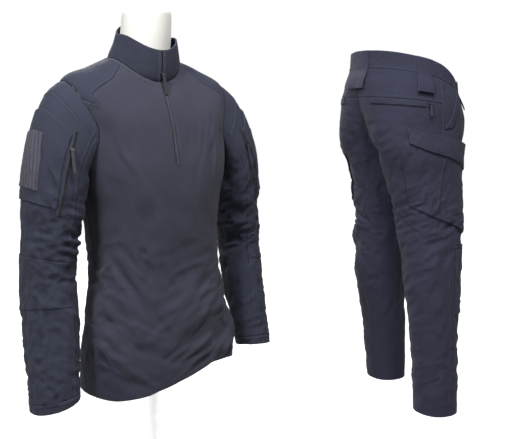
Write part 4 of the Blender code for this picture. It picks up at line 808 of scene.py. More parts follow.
def refine(values, lengths, spacing):
    """A finer list of values, and the coarse step that each fine step lies in."""
    fine, owner = [float(values[0])], []
    for n, (a, b, length) in enumerate(zip(values, values[1:], lengths)):
        count = max(2, int(round(length / spacing)))
        fine += [a + (b - a) * k / count for k in range(1, count + 1)]
        owner += [n] * count
    return np.array(fine), np.array(owner)


def fine_grid(cloth, us, vs):
    """Fine (u, v) grids over coarse lines, and the coarse cell of each fine one."""
    u, v = np.meshgrid(np.asarray(us, float), np.asarray(vs, float))
    points, _ = cloth.at(u, v)
    across = np.median(np.linalg.norm(np.diff(points, axis=1), axis=-1), axis=0)
    up = np.median(np.linalg.norm(np.diff(points, axis=0), axis=-1), axis=1)
    fine_u, own_u = refine(us, across, SPACING)
    fine_v, own_v = refine(vs, up, SPACING)
    u, v = np.meshgrid(fine_u, fine_v)
    return u, v, own_u, own_v


def add_piece(name, points, faces, mat, uvs=None, smooth=True):
    """A mesh object from numpy points and quads (or triangles)."""
    mesh = bpy.data.meshes.new(name)
    faces = np.asarray(faces, np.int32)
    sides = faces.shape[1]
    mesh.vertices.add(len(points))
    mesh.vertices.foreach_set("co", np.asarray(points, np.float32).ravel())
    mesh.loops.add(faces.size)
    mesh.loops.foreach_set("vertex_index", faces.ravel())
    mesh.polygons.add(len(faces))
    mesh.polygons.foreach_set("loop_start", np.arange(0, faces.size, sides, dtype=np.int32))
    if uvs is not None:
        layer = mesh.uv_layers.new(name="cloth")
        layer.data.foreach_set("uv", np.asarray(uvs, np.float32)[faces.ravel()].ravel())
    mesh.update(calc_edges=True)
    mesh.validate()
    if smooth:
        mesh.shade_smooth()
    obj = bpy.data.objects.new(name, mesh)
    bpy.context.scene.collection.objects.link(obj)
    mesh.materials.append(mat)
    return obj


def cut_size(points):
    """The width and length that a grid of points would be cut to."""
    across = np.linalg.norm(np.diff(points, axis=1), axis=-1).sum(axis=1)
    up = np.linalg.norm(np.diff(points, axis=0), axis=-1).sum(axis=0)
    return float(across.max()), float(up.max())


def cloth_uv(points):
    """Distances along the cloth, in metres, across and up a grid of points."""
    across = np.zeros(points.shape[:2])
    across[:, 1:] = np.cumsum(np.linalg.norm(np.diff(points, axis=1), axis=-1), axis=1)
    across -= across[:, [points.shape[1] // 2]]
    up = np.zeros(points.shape[:2])
    up[1:] = np.cumsum(np.linalg.norm(np.diff(points, axis=0), axis=-1), axis=0)
    return np.stack([across, up], axis=-1)


def wall_mesh(name, points, facing, mask, wall, mat, lift=0.0, inset=EDGE_INSET):
    """A closed wall of cloth with rounded edges, over the cells of a grid that mask keeps."""
    rows, columns = points.shape[:2]
    outer = points + facing * np.asarray(lift + wall)[..., None]
    inner = points + facing * np.asarray(lift)[..., None]
    centres = (outer[:-1, :-1] + outer[1:, :-1] + outer[:-1, 1:] + outer[1:, 1:]) / 4
    count = np.zeros((rows, columns))
    towards = np.zeros((rows, columns, 3))
    for di, dj in ((0, 0), (1, 0), (0, 1), (1, 1)):
        part = (slice(di, rows - 1 + di), slice(dj, columns - 1 + dj))
        count[part] += mask
        towards[part] += centres * mask[..., None]
    edge = (count > 0) & (count < 4)
    inward = unit(towards / np.maximum(count, 1)[..., None] - outer)
    inward *= edge[..., None]
    rim = outer + inward * inset - facing * EDGE_DROP
    inner = inner + inward * inset
    outer = outer + inward * (inset + EDGE_ROUND)
    index = np.arange(rows * columns).reshape(rows, columns)
    a, b, c, d = index[:-1, :-1], index[:-1, 1:], index[1:, 1:], index[1:, :-1]
    total = rows * columns
    front = np.stack([a, b, c, d], axis=-1)[mask]
    faces = [front, front[:, ::-1] + 2 * total]
    padded = np.pad(mask, 1)
    for quad, beside in (
        ((a, b), padded[:-2, 1:-1]),
        ((b, c), padded[1:-1, 2:]),
        ((c, d), padded[2:, 1:-1]),
        ((d, a), padded[1:-1, :-2]),
    ):
        at = mask & ~beside
        p, q = quad[0][at], quad[1][at]
        faces.append(np.stack([q, p, p + total, q + total], axis=-1))
        faces.append(np.stack([q + total, p + total, p + 2 * total, q + 2 * total], axis=-1))
    faces = np.concatenate(faces)
    every = np.concatenate([outer.reshape(-1, 3), rim.reshape(-1, 3), inner.reshape(-1, 3)])
    uv = np.tile(cloth_uv(points).reshape(-1, 2), (3, 1))
    used = np.unique(faces)
    renumber = np.zeros(len(every), np.int64)
    renumber[used] = np.arange(len(used))
    obj = add_piece(name, every[used], renumber[faces], mat, uv[used])
    turn_outward(obj, front, outer.reshape(-1, 3), facing.reshape(-1, 3))
    diagonals = outer[1:, 1:] - outer[:-1, :-1], outer[1:, :-1] - outer[:-1, 1:]
    cells = np.linalg.norm(np.cross(*diagonals), axis=-1) / 2
    obj["cut"] = [*cut_size(outer), float(cells[mask].sum())]
    return obj


def turn_outward(obj, quads, points, facing):
    """Turns the faces over if the grid's quads look into the cloth."""
    quad = quads[len(quads) // 2]
    normal = np.cross(points[quad[2]] - points[quad[0]], points[quad[3]] - points[quad[1]])
    if np.dot(normal, facing[quad[0]]) < 0:
        obj.data.flip_normals()


def piece(obj, node, slot, rests_on=(), body=ROOT):
    """Puts a cloth piece in the place of its CAD node, and hides that node."""
    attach(obj, body)
    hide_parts(node)
    width, length, area = obj["cut"]
    del obj["cut"]
    width, length = max(width, area / length), max(length, area / width)
    area = min(max(area, 0.301 * width * length), width * length)
    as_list(rests_on)
    return obj


def grid_piece(node, cloth, us, vs, colour, rests_on, wall=WALL, keep=None):
    """A piece over the coarse cells of a cloth that keep leaves, or over all of them."""
    u, v, own_u, own_v = fine_grid(cloth, us, vs)
    points, facing = cloth.at(u, v)
    mask = np.ones((len(own_v), len(own_u)), bool)
    if keep:
        mask = np.array([[keep(i, j) for j in own_u] for i in own_v])
    obj = wall_mesh(node + "_cloth", points, facing, mask, wall, MATERIALS[colour], -wall)
    return piece(obj, node, colour, rests_on)


class Shader:
    """A short way to wire one material's nodes."""

    def __init__(self, name, base, roughness, metallic=0.0):
        self.mat = bpy.data.materials.new(name)
        self.mat.use_nodes = True
        self.tree = self.mat.node_tree
        self.out = self.tree.nodes["Principled BSDF"]
        self.out.inputs["Base Color"].default_value = (*base, 1.0)
        self.out.inputs["Roughness"].default_value = roughness
        self.out.inputs["Metallic"].default_value = metallic
        self.mat.diffuse_color = (*base, 1.0)

    def node(self, kind, inputs=(), **settings):
        node = self.tree.nodes.new(kind)
        for key, value in settings.items():
            setattr(node, key, value)
        for key, value in dict(inputs).items():
            self.put(node.inputs[key], value)
        return node

    def put(self, socket, value):
        if hasattr(value, "is_linked"):
            self.tree.links.new(value, socket)
        else:
            socket.default_value = value

    def math(self, operation, a, b=0.0):
        return self.node("ShaderNodeMath", {0: a, 1: b}, operation=operation).outputs[0]

    def mix(self, share, a, b):
        node = self.node("ShaderNodeMix", data_type="RGBA")
        self.put(node.inputs[0], share)
        self.put(node.inputs[6], a)
        self.put(node.inputs[7], b)
        return node.outputs[2]

    def noise(self, vector, scale, detail=2.0, roughness=0.5):
        inputs = {"Vector": vector, "Scale": scale, "Detail": detail, "Roughness": roughness}
        return self.node("ShaderNodeTexNoise", inputs).outputs["Fac"]

    def ramp(self, value, low, high, out_low=0.0, out_high=1.0):
        inputs = {0: value, 1: low, 2: high, 3: out_low, 4: out_high}
        return self.node("ShaderNodeMapRange", inputs, clamp=True).outputs[0]

    def bump(self, height, strength, distance, normal=None):
        node = self.node("ShaderNodeBump", {"Strength": strength, "Distance": distance, "Height": height})
        if normal is not None:
            self.put(node.inputs["Normal"], normal)
        return node.outputs[0]

    def finish(self, **links):
        for key, value in links.items():
            self.put(self.out.inputs[key.replace("_", " ")], value)
        return self.mat


def scaled(colour, share):
    return (*(min(1.0, c * share) for c in colour), 1.0)


def cloth_places(shader):
    """The place on the cloth in metres, as across and up, and the place in the room."""
    uv = shader.node("ShaderNodeTexCoord")
    split = shader.node("ShaderNodeSeparateXYZ", {0: uv.outputs["UV"]})
    return split.outputs[0], split.outputs[1], uv.outputs["Object"]


def cloth_tone(shader, room, base, weave, ridge_wear_and_highlight=1.5):
    """The cloth's colour: painted shade in the low places of its weave, faint dye variation, painted shade in
    the hollows of its creases, and fold ridges made paler, as wear and as a painted highlight.
    """
    dye = shader.noise(room, 7.0, 5.0, 0.6)
    tone = shader.mix(shader.ramp(dye, 0.3, 0.7), scaled(base, 0.86), scaled(base, 1.14))
    # painted shade: the low places of the weave are darkened
    tone = shader.mix(weave, tone, scaled(base, 0.55))
    curvature = shader.node("ShaderNodeNewGeometry").outputs["Pointiness"]
    # painted shade: hollows and creases, where pointiness is low, are darkened
    tone = shader.mix(shader.ramp(curvature, 0.40, 0.49, 0.45, 0.0), tone, scaled(base, 0.5))
    # fold ridges, where pointiness is high, are made paler: wear, and a painted highlight
    return shader.mix(shader.ramp(curvature, 0.51, 0.58, 0.0, 0.6), tone, scaled(base, ridge_wear_and_highlight))


def dull(shader, sheen, sheen_roughness):
    """A cloth's faint gloss: little mirror light, and a soft sheen."""
    shader.out.inputs["Specular IOR Level"].default_value = 0.18
    shader.out.inputs["Sheen Weight"].default_value = sheen
    shader.out.inputs["Sheen Roughness"].default_value = sheen_roughness


def wave(shader, place, pitch, shift=0.0):
    """A sine along a place, from 0 to 1, of a pitch in metres."""
    turns = shader.math("MULTIPLY_ADD", place, 2 * math.pi / pitch)
    turns.node.inputs[2].default_value = shift
    return shader.ramp(shader.math("SINE", turns), -1.0, 1.0)


def ripstop(name, base):
    """A plain weave with thicker threads in a small grid; painted shade darkens the gaps between its threads.
    """
    s = Shader(name, base, 0.82)
    across, up, room = cloth_places(s)
    weave = s.math("MULTIPLY", wave(s, across, WEAVE_PITCH), wave(s, up, WEAVE_PITCH))
    grid_across = s.ramp(wave(s, across, RIPSTOP_PITCH), 0.93, 0.99)
    grid_up = s.ramp(wave(s, up, RIPSTOP_PITCH), 0.93, 0.99)
    grid = s.math("MAXIMUM", grid_across, grid_up)
    slub = s.noise(room, 900.0, 3.0, 0.7)
    # painted shade: the gaps between threads are darkened
    colour = cloth_tone(s, room, base, s.ramp(weave, 0.0, 1.0, 0.45, 0.0))
    colour = s.mix(s.math("MULTIPLY", grid, 0.38), colour, scaled(base, 1.7))
    height = s.math("ADD", s.math("MULTIPLY", weave, 0.5), s.math("MULTIPLY", grid, 0.6))
    height = s.math("ADD", height, s.math("MULTIPLY", slub, 0.5))
    soft = s.bump(s.noise(room, 36.0, 5.0, 0.62), 0.6, 0.0045)
    dull(s, 0.035, 0.5)
    return s.finish(Base_Color=colour, Normal=s.bump(height, 0.7, 0.0004, soft))


def mesh_knit(name, base):
    """A knit with small staggered pits, darkened with painted shade."""
    s = Shader(name, base, 0.88)
    across, up, room = cloth_places(s)
    diagonal = s.math("ADD", across, s.math("MULTIPLY", up, 0.62))
    counter = s.math("SUBTRACT", across, s.math("MULTIPLY", up, 0.62))
    pits = s.math("MULTIPLY", wave(s, diagonal, KNIT_PITCH), wave(s, counter, KNIT_PITCH))
    wale = wave(s, across, KNIT_PITCH / 2)
    slub = s.noise(room, 700.0, 3.0, 0.7)
    # painted shade: the pits are darkened
    colour = cloth_tone(s, room, base, s.ramp(pits, 0.25, 0.65, 0.0, 1.0), 1.3)
    height = s.math("SUBTRACT", s.math("MULTIPLY", wale, 0.25), s.math("MULTIPLY", pits, 1.4))
    height = s.math("ADD", height, s.math("MULTIPLY", slub, 0.4))
    soft = s.bump(s.noise(room, 26.0, 4.0, 0.55), 0.5, 0.0035)
    dull(s, 0.045, 0.6)
    return s.finish(Base_Color=colour, Normal=s.bump(height, 0.8, 0.0007, soft))


def loop_pile(name, base):
    """Soft loops, with painted shade in the hollows between the ribs and in the low places of the pile; the
    ribs themselves are in the mesh.
    """
    s = Shader(name, base, 0.95)
    across, _, room = cloth_places(s)
    fuzz = s.noise(room, 1400.0, 5.0, 0.8)
    # painted shade: the low places of the pile, where its bump sinks, are darkened
    colour = cloth_tone(s, room, base, s.ramp(fuzz, 0.35, 0.65, 0.8, 0.0), 1.3)
    # painted shade in the hollows between the ribs
    between = s.ramp(wave(s, across, RIB_PITCH, -math.pi / 2), 0.0, 0.45, 0.85, 0.0)
    colour = s.mix(between, colour, scaled(base, 0.30))
    dull(s, 0.08, 0.7)
    return s.finish(Base_Color=colour, Normal=s.bump(fuzz, 0.9, 0.0008))


def thread(name, base):
    s = Shader(name, base, 0.6)
    room = s.node("ShaderNodeTexCoord").outputs["Object"]
    ply = s.noise(room, 2500.0, 2.0)
    dull(s, 0.03, 0.5)
    colour = s.mix(ply, scaled(base, 0.8), scaled(base, 1.2))
    return s.finish(Base_Color=colour, Normal=s.bump(ply, 0.4, 0.0002))


def moulded(name, base, roughness, metallic=0.0, grain=1500.0):
    """A hard finish with a fine grain and edges made paler by wear."""
    s = Shader(name, base, roughness, metallic)
    room = s.node("ShaderNodeTexCoord").outputs["Object"]
    fine = s.noise(room, grain, 3.0, 0.6)
    curvature = s.ramp(s.node("ShaderNodeNewGeometry").outputs["Pointiness"], 0.53, 0.62, 0.0, 0.6)
    colour = s.mix(curvature, s.mix(fine, scaled(base, 0.9), scaled(base, 1.1)), scaled(base, 2.2))
    rough = s.ramp(fine, 0.3, 0.7, roughness - 0.06, roughness + 0.10)
    return s.finish(Base_Color=colour, Roughness=rough, Normal=s.bump(fine, 0.15, 0.0002))


def form_cover(name, base):
    """The form's cover: a matt, very fine jersey."""
    s = Shader(name, base, 0.75)
    room = s.node("ShaderNodeTexCoord").outputs["Object"]
    fine = s.noise(room, 1100.0, 3.0, 0.6)
    broad = s.noise(room, 12.0, 3.0, 0.5)
    colour = s.mix(s.ramp(broad, 0.3, 0.7), scaled(base, 0.97), scaled(base, 1.0))
    s.out.inputs["Sheen Weight"].default_value = 0.15
    return s.finish(Base_Color=colour, Normal=s.bump(fine, 0.3, 0.0003))


def brushed(name, base):
    """Turned steel, brushed round its axis."""
    s = Shader(name, base, 0.34, 1.0)
    room = s.node("ShaderNodeTexCoord").outputs["Object"]
    split = s.node("ShaderNodeSeparateXYZ", {0: room})
    square = s.math("ADD", s.math("POWER", split.outputs[0], 2.0), s.math("POWER", split.outputs[1], 2.0))
    ring = s.node("ShaderNodeCombineXYZ", {0: s.math("SQRT", square), 2: split.outputs[2]}).outputs[0]
    lines = s.noise(ring, 2200.0, 3.0, 0.7)
    marks = s.noise(room, 30.0, 4.0, 0.6)
    rough = s.math("ADD", s.ramp(lines, 0.3, 0.7, 0.26, 0.40), s.ramp(marks, 0.4, 0.7, 0.0, 0.08))
    return s.finish(Roughness=rough, Normal=s.bump(lines, 0.2, 0.0001))


WEAVE_PITCH, RIPSTOP_PITCH, KNIT_PITCH, RIB_PITCH = 0.0012, 0.0056, 0.0042, 0.0100
KNIT = (0.036, 0.037, 0.058)
WOVEN = (0.027, 0.030, 0.050)
TROUSER = (0.028, 0.030, 0.054)
LOOP = (0.068, 0.068, 0.100)
DARK = (0.014, 0.015, 0.020)
PULL = (0.022, 0.023, 0.029)
COIL = (0.075, 0.077, 0.095)
MATERIALS = {
    "knit": mesh_knit("mesh_knit", KNIT),
    "woven": ripstop("ripstop_shirt", WOVEN),
    "trouser": ripstop("ripstop_trousers", TROUSER),
    "loop": loop_pile("loop_pile", LOOP),
    "zip": moulded("coated_metal", DARK, 0.42, 0.6),
    "pull": moulded("moulded_pull", PULL, 0.5),
    "coil": moulded("zip_coil", COIL, 0.6),
    "thread": thread("thread", (0.085, 0.088, 0.120)),
    "dark_thread": thread("dark_thread", (0.026, 0.027, 0.040)),
    "tape": ripstop("zip_tape", (0.030, 0.031, 0.042)),
    # depth: dark strips of painted shade, laid in seam gaps, pleats, darts and a welt's mouth
    "depth": ripstop("seam_painted_shade", (0.010, 0.010, 0.015)),
    "form": form_cover("form_cover", (0.74, 0.72, 0.68)),
    "metal": brushed("brushed_steel", (0.72, 0.72, 0.72)),
}


LINE_SPACING = 0.0045  # between the points read along a line


def distances(points):
    """How far along a row of points each one is."""
    return np.concatenate([[0], np.cumsum(np.linalg.norm(np.diff(points, axis=0), axis=-1))])


def read_at(values, length, at):
    """Rows of three values, read at distances along their line."""
    return np.stack([np.interp(at, length, values[:, k]) for k in range(3)], axis=-1)


class Line:
    """A line on a cloth: places (u, v), or (u, v, lift), joined up and read every few millimetres."""

    def __init__(self, cloth, places, smooth=False):
        places = np.asarray(places, float)
        if places.shape[1] == 2:
            places = np.concatenate([places, np.zeros((len(places), 1))], axis=1)
        count = len(places)
        at = np.linspace(0, count - 1, (30 if count < 12 else 3) * (count - 1) + 1)
        if smooth:
            dense = np.stack([spline(places[:, k], at) for k in range(3)], axis=-1)
        else:
            dense = read_at(places, range(count), at)
        points, _ = cloth.at(dense[:, 0], dense[:, 1])
        length = distances(points)
        self.cloth, self.length = cloth, length
        self.along = np.linspace(0, length[-1], max(2, int(round(length[-1] / LINE_SPACING))) + 1)
        self.u, self.v, self.lift = (np.interp(self.along, length, dense[:, k]) for k in range(3))
        p, self.facing = cloth.at(self.u, self.v)
        self.by_u, self.by_v = cloth.slopes(self.u, self.v)
        self.beside = unit(np.cross(self.facing, unit(np.gradient(p, axis=0))))

    def offset(self, away, lift):
        """Points on the cloth, away to the line's left by so many metres, and lifted."""
        a = np.sum(self.by_u**2, axis=-1)
        b = np.sum(self.by_u * self.by_v, axis=-1)
        c = np.sum(self.by_v**2, axis=-1)
        p = np.sum(self.by_u * self.beside, axis=-1)
        q = np.sum(self.by_v * self.beside, axis=-1)
        det = np.maximum(a * c - b * b, 1e-12)
        u = self.u + away * (p * c - q * b) / det
        v = self.v + away * (q * a - p * b) / det
        return self.cloth.at(u, v, self.lift + lift)


PARTS = {}


def collect(group, mat, points, faces, uv=None):
    """Keeps a part of a merged piece until the piece is made."""
    uv = np.zeros((len(points), 2)) if uv is None else uv
    faces = np.asarray(faces)
    if faces.shape[1] == 4:
        faces = np.concatenate([faces[:, [0, 1, 2]], faces[:, [0, 2, 3]]])
    PARTS.setdefault((group, mat), []).append((points, faces, uv))


# across a band: share of its width, how far it sinks, and share of its thickness
BAND_SHAPE = (
    (0.0, -0.0012, 0.0),
    (0.04, 0.0, 0.6),
    (0.16, 0.0, 1.0),
    (0.5, 0.0, 1.05),
    (0.84, 0.0, 1.0),
    (0.96, 0.0, 0.6),
    (1.0, -0.0012, 0.0),
)
RIPPLE_PITCH = 0.011
SEAM_DEPTH = 0.0007  # how far a seam's dark strip of painted shade lies in the cloth


def band(group, line, low, high, thick, mat, ripple=0.0):
    """A flat band along a line, as of a felled seam, from low to high metres beside it."""
    shape = np.array(BAND_SHAPE)
    away = low + shape[:, :1] * (high - low)
    wobble = ripple * np.sin(line.along * 2 * math.pi / RIPPLE_PITCH + 3 * np.sin(line.along * 41.0))
    height = shape[:, 1:2] + shape[:, 2:] * (thick + wobble)
    points, _ = line.offset(away, height)
    uvs = np.stack(np.broadcast_arrays(away, line.along), axis=-1)
    columns, rows = points.shape[:2]
    index = np.arange(rows * columns).reshape(columns, rows)
    faces = np.stack([index[:-1, :-1], index[:-1, 1:], index[1:, 1:], index[1:, :-1]], axis=-1).reshape(-1, 4)
    middle = rows // 2
    normal = np.cross(points[2, middle + 1] - points[2, middle - 1], points[4, middle] - points[2, middle])
    if np.dot(normal, line.facing[middle]) < 0:
        faces = faces[:, ::-1]
    collect(group, mat, points.reshape(-1, 3), faces, uvs.reshape(-1, 2))


def stitches(group, line, away, lift=0.0, mat="thread", pitch=STITCH_PITCH, long=STITCH_LENGTH):
    """A row of stitches along a line, away metres beside it."""
    points, facing = line.offset(away, lift)
    length = distances(points)
    count = int(length[-1] / pitch)
    if count < 1:
        return
    at = (np.arange(count) + 0.5) * length[-1] / count
    middle, out = read_at(points, length, at), unit(read_at(facing, length, at))
    start, end = (read_at(points, length, at + half) for half in (-long / 2, long / 2))
    side = unit(np.cross(out, end - start)) * STITCH_WIDTH / 2
    top = middle + out * STITCH_HEIGHT
    low = out * STITCH_DEPTH
    corners = np.stack([start - low, middle + side, end - low, middle - side, top], axis=1)
    faces = np.array([[0, 1, 4], [1, 2, 4], [2, 3, 4], [3, 0, 4]])
    faces = (np.arange(count)[:, None, None] * 5 + faces[None]).reshape(-1, 3)
    collect(group, mat, corners.reshape(-1, 3), faces)


def seam(group, line, mat, width, side=1, rows=2):
    """A felled seam on a line: a dark strip of painted shade in its gap, a raised band on one side of it, and
    its stitches.
    """
    thick = 0.0006
    # a dark strip of painted shade in the seam's gap
    band(group, line, -0.0013, 0.0013, -SEAM_DEPTH, "depth")
    low, high = sorted((side * 0.0008, side * (0.0008 + width)))
    band(group, line, low, high, thick, mat, 0.0002)
    for away in (side * 0.0022, side * (width - 0.0006))[:rows]:
        dark_row(group, line, away, thick)


def dark_row(group, line, away=0.0, lift=0.0):
    """A row of stitches in the cloth's own colour."""
    stitches(group, line, away, lift, "dark_thread")


LAID = {}


def over(node, shares, smooth=False):
    """A line on top of a laid piece, through shares (across, up) of it."""
    cloth, corners, lift, thick = LAID[node][:4]
    shares = np.asarray(shares, float)
    count = len(shares)
    at = np.linspace(0, count - 1, 16 * (count - 1) + 1)
    if smooth:
        across, up = (spline(shares[:, k], at) for k in (0, 1))
    else:
        across, up = (np.interp(at, range(count), shares[:, k]) for k in (0, 1))
    height = profile(lift, up) + profile(thick, across)
    return Line(cloth, np.stack([*bilinear(corners, across, up), height], axis=-1))


def profile(sizes, share):
    """A size, or a row of sizes read at a share of the way along it."""
    if isinstance(sizes, tuple):
        return np.interp(share, np.linspace(0, 1, len(sizes)), sizes)
    return np.full(np.shape(share), sizes)


def border(group, node, inset, sides="abcd"):
    """Stitches inside the edges of a laid piece: a and b are its ends, c its foot, d its top."""
    wide, high = LAID[node][4]
    a, b = inset / wide, inset / high
    ends = {
        "a": ((a, b), (a, 1 - b)),
        "b": ((1 - a, b), (1 - a, 1 - b)),
        "c": ((a, b), (1 - a, b)),
        "d": ((a, 1 - b), (1 - a, 1 - b)),
    }
    for side in sides:
        dark_row(group, over(node, ends[side]))


def make_collected():
    """Makes the merged pieces: one for each group and material."""
    for (group, mat), parts in sorted(PARTS.items()):
        points, faces, uvs, start = [], [], [], 0
        for p, f, uv in parts:
            points.append(p)
            faces.append(np.asarray(f) + start)
            uvs.append(uv)
            start += len(p)
        faces = np.concatenate(faces)
        smooth = mat not in ("thread", "dark_thread", "zip", "coil")
        points, uvs = np.concatenate(points), np.concatenate(uvs)
        obj = add_piece(f"{group}_{mat}", points, faces, MATERIALS[mat], uvs, smooth)
        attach(obj, ROOT)
        if (group, mat) == ("neck_zip", "tape"):
            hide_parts("zip_tape")


def shirt_panels():
    """The knit front and back, the woven shoulder yokes, and the panels over the sides."""
    levels = shirt_levels()
    zip_foot = int(np.argmin(np.abs(levels - ZIP_FOOT_LEVEL)))
    arm_low = int(np.argmin(np.abs(levels - ARMPIT)))
    arm_high = int(np.argmin(np.abs(levels - SHOULDER)))
    side = SIDE_LINE + 1
    shirt = CLOTHS["shirt"]

    def keeps(lines):
        def keep(i, j):
            near = min(abs(lines[j]), abs(lines[j + 1])) - 1
            in_armhole = ARM_FIRST <= near < ARM_LAST and arm_low <= i < arm_high
            in_yoke = YOKE_FIRST <= near < YOKE_LAST and i >= arm_high
            in_zip = lines[j] == -1 and lines[j + 1] == 1 and i >= zip_foot
            return not (in_armhole or in_yoke or in_zip)

        return keep

    front = [-n for n in range(side, 0, -1)] + list(range(1, side + 1))
    form = ["torso_form"]
    grid_piece("shirt_front", shirt, front, levels, "knit", form, keep=keeps(front))
    back = list(range(side, 2 * len(LINES_BODY) + 2 - side + 1))
    count = len(LINES_BODY) + 1

    def keep_back(i, j):
        near = min(min(n, 2 * count - n) for n in back[j : j + 2]) - 1
        in_armhole = ARM_FIRST <= near < ARM_LAST and arm_low <= i < arm_high
        return not (in_armhole or (YOKE_FIRST <= near < YOKE_LAST and i >= arm_high))

    grid_piece("shirt_back", shirt, back, levels, "knit", form, keep=keep_back)
    for name, sign in SIDES.items():
        lines = sorted(sign * n for n in range(YOKE_FIRST + 1, YOKE_LAST + 2))
        grid_piece(f"yoke_{name}", shirt, lines, levels[arm_high:], "woven", form)
        side_panel(name, sign)


def bilinear(corners, across, up):
    (u0, v0), (u1, v1), (u2, v2), (u3, v3) = corners
    u = (1 - up) * ((1 - across) * u0 + across * u1) + up * ((1 - across) * u3 + across * u2)
    v = (1 - up) * ((1 - across) * v0 + across * v1) + up * ((1 - across) * v3 + across * v2)
    return u, v


def laid_piece(node, cloth, corners, counts, lift, thick, colour, rests_on, spacing=SPACING, shape=None):
    """A piece between four corners on a cloth, lifted, with its thickness read across it."""
    across = np.linspace(0, 1, counts[0] + 1)
    up = np.linspace(0, 1, counts[1] + 1)
    a, b = np.meshgrid(across, up)
    points, _ = cloth.at(*bilinear(corners, a, b))
    wide = np.median(np.linalg.norm(np.diff(points, axis=1), axis=-1), axis=0)
    high = np.median(np.linalg.norm(np.diff(points, axis=0), axis=-1), axis=1)
    fine_a, _ = refine(across, wide, spacing)
    fine_b, _ = refine(up, high, spacing)
    a, b = np.meshgrid(fine_a, fine_b)
    points, facing = cloth.at(*bilinear(corners, a, b))
    LAID[node] = (cloth, corners, lift, thick, (float(wide.sum()), float(high.sum())))
    wall, lift = profile(thick, a), profile(lift, b)
    if shape:
        wall = wall + shape(a, b)
    mask = np.ones((a.shape[0] - 1, a.shape[1] - 1), bool)
    obj = wall_mesh(node + "_cloth", points, facing, mask, wall, MATERIALS[colour], lift)
    return piece(obj, node, colour, rests_on)


def side_panel(name, sign):
    """The gusset over one side of the shirt's hem."""
    corners = []
    for degrees, level in SIDE_PANEL:
        line = float(np.interp(degrees, LINES_BODY, range(len(LINES_BODY))))
        corners.append((sign * (1 + line), level))
    node, on = f"side_panel_{name}", ["shirt_front_cloth"]
    laid_piece(node, CLOTHS["shirt"], corners, (10, 6), LAY_GAP, PANEL_THICK, "woven", on)


def collar_piece():
    lines = list(range(1, 2 * len(LINES_BODY) + 2))
    cloth, form = CLOTHS["collar"], ["torso_form"]
    grid_piece("collar", cloth, lines, COLLAR_LEVELS, "woven", form, COLLAR_WALL)


PATCH_SHARE = 0.45  # how much of its solid's thickness the elbow patch shows
RIB_HEIGHT = 0.0011


def sleeve_pieces(side):
    cloth = CLOTHS[f"sleeve_{side}"]
    last = CAP_RINGS + TUBE_RINGS
    outer = list(range(ARM_FRONT, ARM_BACK + 1))
    under = list(range(ARM_BACK, ARM_CELLS + ARM_FRONT + 1))
    rings = list(range(CAP_SEAM_RING, last))
    for name, places, along, on in (
        ("top", outer, rings, f"sleeve_cap_{side}_cloth"),
        ("under", under, [ARMHOLE_GAP_RING] + list(range(1, last)), "shirt_front_cloth"),
        ("cap", outer, [ARMHOLE_GAP_RING, CAP_SEAM_RING], "torso_form"),
    ):
        grid_piece(f"sleeve_{name}_{side}", cloth, places, along, "woven", [on])
    cuff_piece(side, cloth, last)
    for name, lift, thick, colour, (first, end), (low, high) in SLEEVE_LAYERS:
        corners = four_corners(first, end, low, high)
        counts = (end - first, high - low)
        ribs = rib_shape(cloth, corners) if name == "loop_panel" else None
        fine = FINEST_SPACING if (name == "loop_panel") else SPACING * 0.8
        if name == "elbow_patch":
            thick = tuple(part * PATCH_SHARE for part in thick)
        under_it = f"sleeve_pocket_{side}_cloth" if name == "loop_panel" else f"sleeve_top_{side}_cloth"
        laid_piece(f"{name}_{side}", cloth, corners, counts, lift, thick, colour, [under_it], fine, ribs)


def rib_shape(cloth, corners):
    """Ribs up the loop panel."""
    points, _ = cloth.at(*bilinear(corners, np.linspace(0, 1, 30), np.full(30, 0.5)))
    wide = np.linalg.norm(np.diff(points, axis=0), axis=-1).sum()
    count = round(wide / RIB_PITCH)

    def height(across, _):
        return RIB_HEIGHT * np.abs(np.sin(math.pi * across * count)) ** 0.6 - RIB_HEIGHT

    return height


def cuff_piece(side, cloth, last):
    u, v, _, _ = fine_grid(cloth, list(range(ARM_CELLS + 1)), [last - 1, last])
    points, facing = cloth.at(u, v)
    mask = np.ones((points.shape[0] - 1, points.shape[1] - 1), bool)
    obj = wall_mesh(f"cuff_{side}_cloth", points, facing, mask, WALL, MATERIALS["woven"], -WALL)
    piece(obj, f"cuff_{side}", "woven", [f"sleeve_top_{side}_cloth"])


def leg_pieces(side):
    cloth = CLOTHS[f"leg_{side}"]
    heights = LEG_HEIGHTS
    yoke = int(np.argmin(np.abs(heights - YOKE_Z)))
    last = int(np.argmin(np.abs(heights - WAIST_SEAM_Z)))
    band = ["waistband_front_cloth"]
    for name, turns, rows in (
        ("leg_front", FRONT_TURNS, heights[: last + 1]),
        ("leg_back", BACK_TURNS, heights[: yoke + 1]),
        ("back_yoke", BACK_TURNS, heights[yoke : last + 1]),
    ):
        grid_piece(f"{name}_{side}", cloth, turns, rows, "trouser", band)
    for name, lift, thick, colour, half, (first, end), (low, high) in LEG_LAYERS:
        turns = FRONT_TURNS if half == "front" else BACK_TURNS
        corners = four_corners(turns[first], turns[end], heights[low], heights[high])
        counts, on, fine = (end - first, high - low), [f"leg_{half}_{side}_cloth"], SPACING
        if name.startswith("belt_loop"):
            counts, on, fine = (1, 4), [f"leg_back_{side}_cloth"], FINE_SPACING
        laid_piece(f"{name}_{side}", cloth, corners, counts, lift, thick, colour, on, fine)
    for name, lift, thick, colour, counts, corners in SLANTED_LAYERS:
        on = [f"cargo_pocket_{side}_cloth"] if name == "cargo_flap" else [f"leg_front_{side}_cloth"]
        fine = SPACING * (0.75 if name.startswith("cargo") else 1.0)
        laid_piece(f"{name}_{side}", cloth, corners, counts, lift, thick, colour, on, fine)


def four_corners(first, last, low, high):
    return (first, low), (last, low), (last, high), (first, high)


